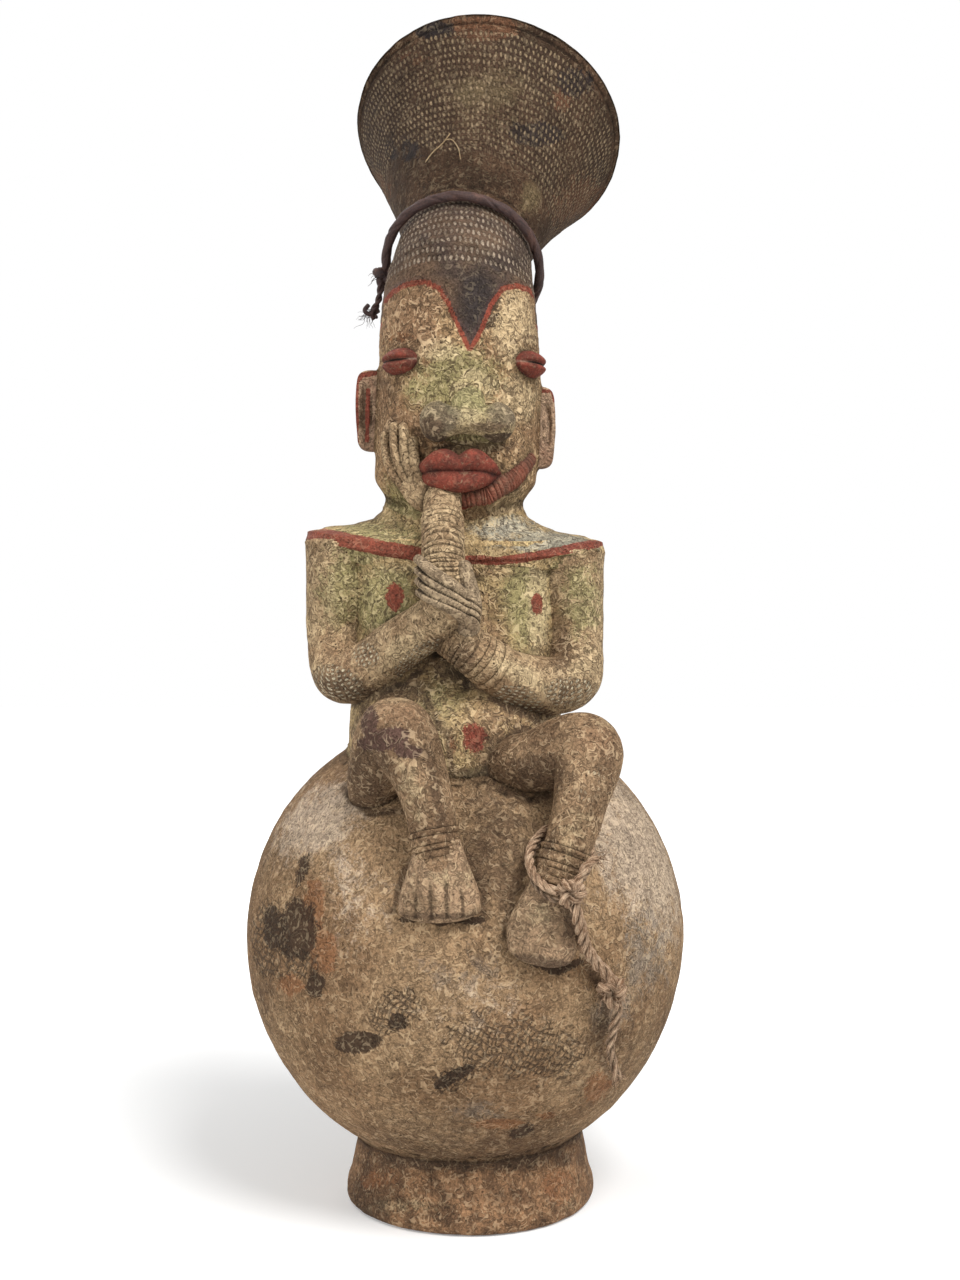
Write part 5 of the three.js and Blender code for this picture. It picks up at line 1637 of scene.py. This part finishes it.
def paint_material(name, colour, worn):
    """Red earth colour rubbed on the clay, worn thin on the high places."""
    made = new_material(name)
    place = here()
    patches = noise_of(place, 120, 4, 0.6)
    base = blended(between(patches, 0.4, 0.62), colour, worn)
    rubbed = noise_of(place, 300, 3, 1.2)
    base = blended(times(between(rubbed, 0.6, 0.7), 0.45), base, (0.3, 0.2, 0.12))
    slit = kept("slit")
    base = blended(times(slit, 0.55, clamp=True), base, (0.3, 0.22, 0.16))
    crust = shared("Earth crust", {"Colour": base, "Contrast": 0.7, "Flecks": 0.4,
                                   "Crease darkening": 1.1, "Painted": 0.6})
    surface(crust["Colour"], crust["Roughness"], crust["Height"], 0.0005)
    return made


# Settings that a user may change

def length_setting(name, description, default, low, high):
    return FloatProperty(name=name, description=description, default=default, min=low, max=high,
                         unit="LENGTH")


def colour_setting(name, description, default):
    return FloatVectorProperty(name=name, description=description, subtype="COLOR", size=3,
                               min=0, max=1, default=default)


class ClaySizes(bpy.types.PropertyGroup):
    dents: length_setting("Dents", "Height of the broad, hand-made unevenness", 0.0011, 0, 0.003)
    finger_marks: length_setting("Finger marks", "Height of the small unevenness", 0.00024, 0, 0.001)
    luting: length_setting("Luting", "How far clay is smeared at a joint", 0.006, 0.001, 0.01)
    rope_strands: IntProperty(name="Rope strands", description="Strands laid into the rope",
                              default=3, min=2, max=4)
    rope_lay: length_setting("Rope lay", "Length of one turn of the rope's strands", 0.021, 0.01, 0.05)


class ClayColours(bpy.types.PropertyGroup):
    earth: colour_setting("Earth", "Main colour of the jar's clay", (0.3, 0.195, 0.108))
    red_earth: colour_setting("Red earth", "Colour of the painted red", (0.2, 0.046, 0.029))
    # This tone also paints the shadow lines under the feet and under the nose.
    soot: colour_setting("Soot", "Colour of smoke and burnt patches", (0.045, 0.028, 0.019))
    fibre: colour_setting("Fibre", "Colour of the rope", (0.55, 0.385, 0.255))
    hide: colour_setting("Hide", "Colour of the thong", (0.058, 0.03, 0.024))


# The rope and its knots, from the part's own route

LEFT_ANKLE = over_jar(22.5, 23.5, 13)
LOOP_ROUTE = LEFT_ANKLE + np.array([
    [-3, -16, -10.5], [-11.5, -11, -6], [-15, -0.5, 3.5], [-9, 12.5, 12.5], [2, 20.5, 16.5],
    [13, 16.5, 12], [15, 5, 2], [8, -8, -7]])
ROPE_ROUTE = LEFT_ANKLE + np.array([
    [6, -15.5, -17], [7.5, -15, -22], [9, -12, -28], [11, -7, -35], [13.5, -1, -42.5],
    [18.5, 4, -49.5], [24, 7, -56]])
TIP_ROUTE = LEFT_ANKLE + np.array([
    [28.7, 9, -72], [28, 10, -78], [26.3, 12, -86.5], [25.4, 13, -93], [27, 14, -101],
    [29.6, 15, -109]])
ANKLE_KNOT = ROPE_ROUTE[0] + unit(ROPE_ROUTE[0] - ROPE_ROUTE[1]) * 5.7
TAIL_KNOT = (ROPE_ROUTE[-1] + TIP_ROUTE[0]) / 2

THONG_RADIUS, THONG_SLACK, THONG_FRONT, THONG_BACK, THONG_LOW, THONG_DROOP = 2.7, 2.4, 1.5, 7, 4.5, 7
TIE_ROUND = 256
WAIST_MIDDLE, WAIST_FRAME = head_frame(1)


def hoop_point(round_):
    front, back = (WAIST_RADIUS + slack + THONG_RADIUS for slack in (THONG_FRONT, THONG_BACK))
    a = math.radians(round_)
    reach = (front + back) / 2 * (1 - math.cos(a))
    droop = math.radians(THONG_DROOP)
    local = np.array([(WAIST_RADIUS + THONG_SLACK + THONG_RADIUS) * math.sin(a),
                      reach * math.cos(droop) - front, -reach * math.sin(droop) - THONG_LOW])
    return WAIST_FRAME @ local + WAIST_MIDDLE


def stage_camera():
    lens = bpy.data.cameras.new("photo_camera")
    camera = bpy.data.objects.new("photo_camera", lens)
    bpy.context.scene.collection.objects.link(camera)
    camera.location = EYE * MM
    camera.rotation_euler = (math.radians(90), 0, 0)
    lens.sensor_fit, lens.sensor_width, lens.sensor_height = "AUTO", 36, 36
    lens.lens = 36 * EYE_REACH / 1280
    lens.clip_start, lens.clip_end = 0.05, 20
    bpy.context.scene.camera = camera


def rides(obj, look, body, slot, *nodes):
    """Finishes a piece: its material, the body it rides on, and the nodes it stands for, which it hides; its
    slot is not used.
    """
    obj.data.materials.clear()
    obj.data.materials.append(look)
    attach(obj, body)
    if nodes:
        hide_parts(*nodes)


class CLAYJAR_OT_rope(bpy.types.Operator):
    """Lays up the fibre rope: its free end with the knot, and its frayed tip"""
    bl_idname = "clayjar.rope"
    bl_label = "Rope"

    def execute(self, context):
        sizes, colours = context.scene.clay_sizes, context.scene.clay_colours
        fibre = fibre_material("dry_fibre", tuple(colours.fibre), (0.16, 0.085, 0.045),
                               (0.5, 0.37, 0.25))
        line = even_line(np.concatenate([ROPE_ROUTE, TIP_ROUTE]), 0.9)
        thin = np.interp(line[:, 2], [TIP_ROUTE[-1][2], TIP_ROUTE[0][2], ROPE_ROUTE[-1][2]],
                         [2.2, 2.4, 3.0])
        rope = strands("rope", twisted(line, thin, sizes.rope_strands, sizes.rope_lay / MM, seed=4,
                                       rough=0.22))
        hollowed(rope, line[::2], 1.6, 2.8)
        rides(rope, fibre, "jar", "plant_fibre", "rope_tail", "rope_tip")
        knot = strands("rope_knot", knotted(TAIL_KNOT, ROPE_ROUTE[-1] - TIP_ROUTE[0], 8.6, 2.7, 2, 5)
                       + knotted(TAIL_KNOT + (0, 0, 2.6), (0.3, 0.1, 1), 6.4, 2.3, 2, 9))
        hollowed(knot, [TAIL_KNOT], 2.5, 8)
        rides(knot, fibre, "jar", "plant_fibre", "tail_knot")
        rng = np.random.default_rng(12)
        loose = []
        for i in range(46):
            p = line[rng.integers(4, len(line) - 3)]
            out = rng.normal(size=3) * (1, 0.7, 1)
            loose.append(wisp(p + unit(out) * 1.7, out, rng.uniform(2, 5), 0.2, rng.uniform(1, 3),
                              100 + i))
        for i in range(10):
            p = line[-1 - rng.integers(0, 7)]
            out = way_out(rng, (-0.8, 0.8), (-0.5, 0.1), (-1.2, -0.2))
            loose.append(wisp(p, out, rng.uniform(3, 7), 0.42, rng.uniform(1, 2.5), 200 + i, 0.22))
        for i in range(14):
            out = way_out(rng, (-1, 1), (-1, 0.2), (-1, 1))
            loose.append(wisp(TAIL_KNOT + unit(out) * 5, out, rng.uniform(4, 8), 0.28, 2, 300 + i))
        fuzz = strands("rope_fuzz", loose)
        rides(fuzz, fibre, "jar", "plant_fibre")
        return {"FINISHED"}


class CLAYJAR_OT_ankle_tie(bpy.types.Operator):
    """Ties the rope's turn and its knot round the left ankle"""
    bl_idname = "clayjar.ankle_tie"
    bl_label = "Ankle tie"

    def execute(self, context):
        fibre = bpy.data.materials["dry_fibre"]
        up = np.array([0, -0.62, 0.78])
        line = even_line(LOOP_ROUTE, 0.9, True)
        loop = strands("ankle_turn", twisted(line, 2.3, 3, 14.0, up, 21, 0.2))
        second = even_line(LOOP_ROUTE + np.array([0.4, -1.5, -4.4]) * np.linspace(1, 0.5, 8)[:, None],
                           0.9, True)
        other = strands("ankle_turn_2", twisted(second, 1.3, 2, 9.0, up, 25, 0.2))
        both = gathered("ankle_turns", [loop, other])
        hollowed(both, np.concatenate([line[::2], second[::2]]), 0.9, 2.1)
        rides(both, fibre, "jar", "plant_fibre", "ankle_loop")
        stub = even_line(ANKLE_KNOT + np.array([[1, 0, 2], [5, 2, 8], [8, 4.5, 13], [13, 6, 15.5]]), 0.9)
        many = knotted(ANKLE_KNOT, (0.4, 0, 1), 7.8, 2.6, 2, 31)
        many += knotted(ANKLE_KNOT + np.array([-1, 0, 1]), (1, 0.1, -0.5), 6.0, 2.2, 2, 33)
        many += twisted(stub, np.linspace(2.4, 1.7, len(stub)), 2, 12.0, None, 35, 0.25)
        rng = np.random.default_rng(5)
        for i in range(18):
            out = way_out(rng, (-1, 1), (-1, 0.3), (-0.6, 1))
            many.append(wisp(ANKLE_KNOT + unit(out) * 5.5, out, rng.uniform(3, 8), 0.26, 2, 400 + i))
        for i in range(14):
            out = way_out(rng, (0.2, 1.2), (-0.6, 0.4), (-0.5, 0.9))
            many.append(wisp(stub[-1 - rng.integers(0, 4)], out, rng.uniform(4, 9), 0.38, 2, 500 + i,
                             0.3))
        knot = strands("ankle_tie", many)
        hollowed(knot, [ANKLE_KNOT], 2.5, 7)
        rides(knot, fibre, "jar", "plant_fibre", "ankle_knot")
        return {"FINISHED"}


class CLAYJAR_OT_thong(bpy.types.Operator):
    """Ties the twisted hide thong round the waist of the coiffure, with its knot and frayed end"""
    bl_idname = "clayjar.thong"
    bl_label = "Thong"

    def execute(self, context):
        colours = context.scene.clay_colours
        hide = fibre_material("old_hide", tuple(colours.hide), (0.034, 0.02, 0.019),
                              (0.11, 0.055, 0.04), 0.0006, 0.62, 0.25)
        up = WAIST_FRAME @ Z_AXIS
        line = np.array([hoop_point(a) for a in np.linspace(0, 360, 331)])
        line[-1] = line[0]
        line[1:-1] += np.stack([0.3 * cloudy(line[1:-1], 14, 60 + k) for k in range(3)], 1)
        _, us, vs = frames_along(line, up)
        angle = np.arange(34) / 34 * 2 * math.pi
        far = np.linspace(0, 1, len(line))[:, None]
        spin = angle[None] - 2 * math.pi * 9 * far
        groove = np.exp(-(((spin + math.pi) % (2 * math.pi) - math.pi) / 0.3) ** 2)
        fold = np.exp(-(((spin + math.pi + 2.1) % (2 * math.pi) - math.pi) / 0.2) ** 2)
        size = THONG_RADIUS * (1.0 + 0.06 * np.cos(2 * spin) - 0.3 * groove - 0.13 * fold)
        rings = rings_round(line, us, vs, angle, size)
        rings[-1] = rings[0]
        hoop = skin("thong_ring", rings, run_of(rings))
        rides(hoop, hide, "thong", "thong_leather", "thong_hoop")
        middle = hoop_point(TIE_ROUND) + unit(hoop_point(TIE_ROUND) - WAIST_MIDDLE) * 1.6
        along = hoop_point(TIE_ROUND + 3) - hoop_point(TIE_ROUND)
        many = knotted(middle, along, 7.2, 2.3, 1, 41) + knotted(middle, (0.2, -0.4, 1), 5.6, 1.8, 1, 43)
        rng = np.random.default_rng(8)
        for i in range(9):
            out = way_out(rng, (-1.3, 0.2), (-1, 0.2), (-0.6, 0.7))
            many.append(wisp(middle + unit(out) * 4, out, rng.uniform(3, 7), 0.3, 2, 600 + i))
        knot = strands("thong_tie", many)
        rides(knot, hide, "thong", "thong_leather", "thong_knot")
        start = hoop_point(TIE_ROUND) + np.array([-3.5, 0, -3])
        drop = start + np.array([[0, 0, 0], [-0.6, 0.3, -8], [-2.0, -1.5, -14], [-4.5, -3.0, -18.5],
                                 [-3.0, -3.5, -22.5]])
        tail = twisted(even_line(drop, 0.8), 1.9, 2, 12.0, None, 51, 0.3)
        curl = start + np.array([[-1.5, -1, -17], [-6, -3, -20], [-9, -3.5, -18], [-7, -2, -14.5]])
        tail += twisted(even_line(curl, 0.7), 1.3, 1, 12.0, None, 53, 0.3)
        for i in range(20):
            out = way_out(rng, (-1.4, 0.3), (-1, 0.1), (-1, 0.3))
            tail.append(wisp(start + (-4 - rng.uniform(0, 2), -2, -17 - rng.uniform(0, 5)), out,
                             rng.uniform(4, 11), 0.22, rng.uniform(1, 3), 700 + i, 0.4))
        end = strands("thong_end", tail)
        rides(end, hide, "thong", "thong_leather", "thong_tail")
        return {"FINISHED"}


class CLAYJAR_OT_jar(bpy.types.Operator):
    """Shapes the round jar and its flared foot"""
    bl_idname = "clayjar.jar"
    bl_label = "Jar and foot"

    def execute(self, context):
        shaped_globe()
        shaped_foot()
        return {"FINISHED"}


class CLAYJAR_OT_body(bpy.types.Operator):
    """Shapes the torso and the shoulders"""
    bl_idname = "clayjar.body"
    bl_label = "Torso and shoulders"

    def execute(self, context):
        shaped_torso()
        shaped_shelf()
        return {"FINISHED"}


class CLAYJAR_OT_head(bpy.types.Operator):
    """Shapes the hollow head and the flared coiffure it opens into"""
    bl_idname = "clayjar.head"
    bl_label = "Head and coiffure"

    def execute(self, context):
        shaped_head()
        shaped_coiffure()
        return {"FINISHED"}


class CLAYJAR_OT_face(bpy.types.Operator):
    """Shapes the ears, eyes, nose, lips and the notched band on the jaw"""
    bl_idname = "clayjar.face"
    bl_label = "Face"

    def execute(self, context):
        shaped_ear("clay_right_ear", -1, 0.435, 11)
        shaped_ear("clay_left_ear", 1, 0.38, 8.5)
        shaped_eye("clay_right_eye", -1)
        shaped_eye("clay_left_eye", 1)
        shaped_nose()
        shaped_lips()
        shaped_jaw_band()
        return {"FINISHED"}


class CLAYJAR_OT_arms(bpy.types.Operator):
    """Rolls the arms with their wrist rings, and models both hands"""
    bl_idname = "clayjar.arms"
    bl_label = "Arms and hands"

    def execute(self, context):
        shaped_right_arm()
        shaped_left_arm()
        shaped_right_hand()
        shaped_left_hand()
        return {"FINISHED"}


class CLAYJAR_OT_legs(bpy.types.Operator):
    """Rolls the bent legs with their ankle rings, and models both feet"""
    bl_idname = "clayjar.legs"
    bl_label = "Legs and feet"

    def execute(self, context):
        shaped_leg("clay_right_leg", -1)
        shaped_leg("clay_left_leg", 1)
        shaped_foot_of("clay_right_foot", -1)
        shaped_foot_of("clay_left_foot", 1)
        return {"FINISHED"}


SMALL = ("ear", "eye", "nose", "lip", "jaw", "hand", "foot")


class CLAYJAR_OT_lute(bpy.types.Operator):
    """Makes every clay piece uneven and smears it on to its neighbours"""
    bl_idname = "clayjar.lute"
    bl_label = "Unevenness and luting"

    def execute(self, context):
        sizes = context.scene.clay_sizes
        for name in PIECES:
            obj = bpy.data.objects["clay_" + name]
            small = any(word in name for word in SMALL) and name != "foot"
            uneven(obj, sizes.dents / MM * (0.35 if small else 1.0),
                   sizes.finger_marks / MM * (0.7 if small else 1.0))
            if name in ("head", "coiffure"):
                # Their bumps leave the lifted thong free.
                along = (places(obj) - WAIST_MIDDLE) @ WAIST_FRAME[:, 2]
                grooved(obj, smooth(along, -34, -20))
        for name, (_, _, _, near) in PIECES.items():
            obj = bpy.data.objects["clay_" + name]
            others = [bpy.data.objects["clay_" + word] for word in near.split()]
            small = any(word in name for word in ("eye", "nose", "lip", "jaw", "ear"))
            limb = any(word in name for word in ("hand", "foot", "leg")) and name != "foot"
            luted(obj, others, sizes.luting / MM * (0.4 if small else 0.5 if limb else 1.0))
            p = places(obj)
            if name == "foot":
                put(obj, np.maximum(p, [-999, -999, 0]))
            if name in ("torso", "shelf", "right_arm", "left_arm"):
                mark(obj, "crease", marked(obj, "crease")
                     * (1 - 0.8 * smooth(p[:, 2], SEAT_Z + 34, SEAT_Z + 56)))
            if name != "shelf":
                relief(obj)
            if name in ("head", "nose"):
                # The neck and the bridge of the nose grow out of the head without a seam.
                open_ = 0.15 + 0.85 * smooth(p[:, 2], NECK_Z + 12, NECK_Z + 26)
                open_ *= 1 - in_spot(on_picture(p), 463, 388, 38, 19, 1, 0.5)
                for kept_name in ("crease", "relief"):
                    mark(obj, kept_name, marked(obj, kept_name) * open_)
        return {"FINISHED"}


class CLAYJAR_OT_paint(bpy.types.Operator):
    """Lays the earth colours, stains and cord marks on the clay, and gives each piece its place"""
    bl_idname = "clayjar.paint"
    bl_label = "Colours and marks"

    def execute(self, context):
        looks = clay_looks(context.scene.clay_colours)
        for name, (node, slot, look, _) in PIECES.items():
            obj = bpy.data.objects["clay_" + name]
            stained(obj, **STAINED.get(name, {}))
            pressed(obj, PRESSED.get(name, {}))
            rides(obj, looks[look], "jar", slot, node)
        coiffure = bpy.data.objects["clay_coiffure"]
        local = (places(coiffure) - WAIST_MIDDLE) @ WAIST_FRAME
        high, left = local[:, 2], smooth(-local[:, 0], 10, 60)
        edge = 32 + 26 * left + 12 * smooth(local[:, 1], 0, 40)
        stamp = smooth(high, edge - 5, edge + 7) * (1 - smooth(high, 102, 107))
        mark(coiffure, "stamp", stamp)
        mark(coiffure, "brushed", 1 - 0.75 * stamp)
        head = bpy.data.objects["clay_head"]
        p = places(head)
        share, seen, front = head_shares(p), on_picture(p), facing(head, 0.1, 0.3)
        line = np.array(FOREHEAD_LINE, float)
        over = smooth(np.interp(seen[:, 0], line[:, 0], line[:, 1]) - seen[:, 1], -2, 4)
        mark(head, "band", smooth(share, 0.785, 0.82))
        mark(head, "cap", over * front + smooth(share, 0.69, 0.72) * (1 - front))
        band_edge = 1 - smooth(np.abs(share - 0.7) * HEAD_LENGTH, 0.8, 2.4)
        mark(head, "red", np.maximum(marked(head, "red"), band_edge * (1 - front)))
        return {"FINISHED"}


class CLAYJAR_OT_straw(bpy.types.Operator):
    """Leaves a wisp of dry straw caught on the coiffure"""
    bl_idname = "clayjar.straw"
    bl_label = "Straw wisp"

    def execute(self, context):
        coiffure = bpy.data.objects["clay_coiffure"]
        straw = fibre_material("dry_straw", (0.5, 0.36, 0.2), (0.3, 0.2, 0.11),
                               (0.6, 0.46, 0.28))
        many = []
        for i, route in enumerate((((426, 163), (434, 154), (443, 144), (451, 135)),
                                   ((445, 141), (452, 141), (458, 148), (461, 161)))):
            line = np.array([seen_point(coiffure, x, y, 0.7 + 0.9 * (k % 2))
                             for k, (x, y) in enumerate(route)])
            many.append(strand(even_line(line, 0.8), 0.34 - 0.07 * i, 6))
        wisps = strands("straw_wisp", many)
        rides(wisps, straw, "jar", "plant_fibre")
        return {"FINISHED"}


def area_light(name, place, size, power):
    lamp = bpy.data.lights.new(name, "AREA")
    lamp.shape, lamp.size, lamp.energy = "DISK", size, power
    obj = bpy.data.objects.new(name, lamp)
    bpy.context.scene.collection.objects.link(obj)
    obj.location = place
    obj.rotation_euler = (Vector((0, 0, 0.33)) - Vector(place)).to_track_quat("-Z", "Y").to_euler()


def in_view():
    """1 for what the camera sees, straight or in a gloss or a glass."""
    ray = add("LightPath").outputs
    return most(ray["Is Camera Ray"], most(ray["Is Glossy Ray"], ray["Is Transmission Ray"]))


class CLAYJAR_OT_stage(bpy.types.Operator):
    """Sets the pale floor, the soft studio light and the plain background"""
    bl_idname = "clayjar.stage"
    bl_label = "Stage"

    def execute(self, context):
        scene = context.scene
        bm = bmesh.new()
        bmesh.ops.create_grid(bm, x_segments=8, y_segments=8, size=6)
        me = bpy.data.meshes.new("floor")
        bm.to_mesh(me)
        bm.free()
        floor = new_object("floor", me)
        made = new_material("pale_floor")
        shader = add("BsdfPrincipled", {
            "Base Color": (0.86, 0.86, 0.855), "Roughness": 0.9, "Specular IOR Level": 0.0})
        far = add("VectorMath", {0: here()}, operation="LENGTH").outputs["Value"]
        pale = spread(between(far, 0.12, 0.9), 0.7, 0.2)
        glow = add("Emission", {"Color": (1, 1, 1), "Strength": times(in_view(), pale)})
        both = add("AddShader", {0: shader.outputs[0], 1: glow.outputs[0]})
        add("OutputMaterial", {"Surface": both.outputs[0]})
        WIRED.pop()
        floor.data.materials.append(made)
        world = bpy.data.worlds.new("soft_room")
        scene.world = world
        world.use_nodes = True
        world.node_tree.nodes.clear()
        WIRED.append(world.node_tree)
        back = add("Background", {"Color": (1, 1, 1), "Strength": spread(in_view(), 0.74, 0.26)})
        add("OutputWorld", {"Surface": back.outputs[0]})
        WIRED.pop()
        area_light("key", (0.8, -1.1, 1.75), 1.0, 44)
        area_light("fill", (-1.2, -1.2, 0.9), 1.2, 14)
        area_light("back_left", (-0.9, 0.8, 1.3), 1.0, 8)
        scene.view_settings.view_transform = "Standard"
        return {"FINISHED"}


STEPS = (CLAYJAR_OT_rope, CLAYJAR_OT_ankle_tie, CLAYJAR_OT_thong, CLAYJAR_OT_jar, CLAYJAR_OT_body,
         CLAYJAR_OT_head, CLAYJAR_OT_face, CLAYJAR_OT_arms, CLAYJAR_OT_legs, CLAYJAR_OT_lute,
         CLAYJAR_OT_paint, CLAYJAR_OT_straw, CLAYJAR_OT_stage)


class CLAYJAR_PT_panel(bpy.types.Panel):
    bl_label = "Clay jar"
    bl_idname = "CLAYJAR_PT_panel"
    bl_space_type = "VIEW_3D"
    bl_region_type = "UI"
    bl_category = "Clay jar"

    def draw(self, context):
        for group in (context.scene.clay_sizes, context.scene.clay_colours):
            for key in group.bl_rna.properties.keys():
                if key not in ("rna_type", "name"):
                    self.layout.prop(group, key)
        for step in STEPS:
            self.layout.operator(step.bl_idname)


CLASSES = (ClaySizes, ClayColours, *STEPS, CLAYJAR_PT_panel)


def register():
    for cls in CLASSES:
        bpy.utils.register_class(cls)
    bpy.types.Scene.clay_sizes = PointerProperty(type=ClaySizes)
    bpy.types.Scene.clay_colours = PointerProperty(type=ClayColours)


def unregister():
    del bpy.types.Scene.clay_colours
    del bpy.types.Scene.clay_sizes
    for cls in reversed(CLASSES):
        bpy.utils.unregister_class(cls)


def main():
    register()
    stage_camera()
    for step in STEPS:
        group, name = step.bl_idname.split(".")
        getattr(getattr(bpy.ops, group), name)()


if __name__ == "__main__":
    main()
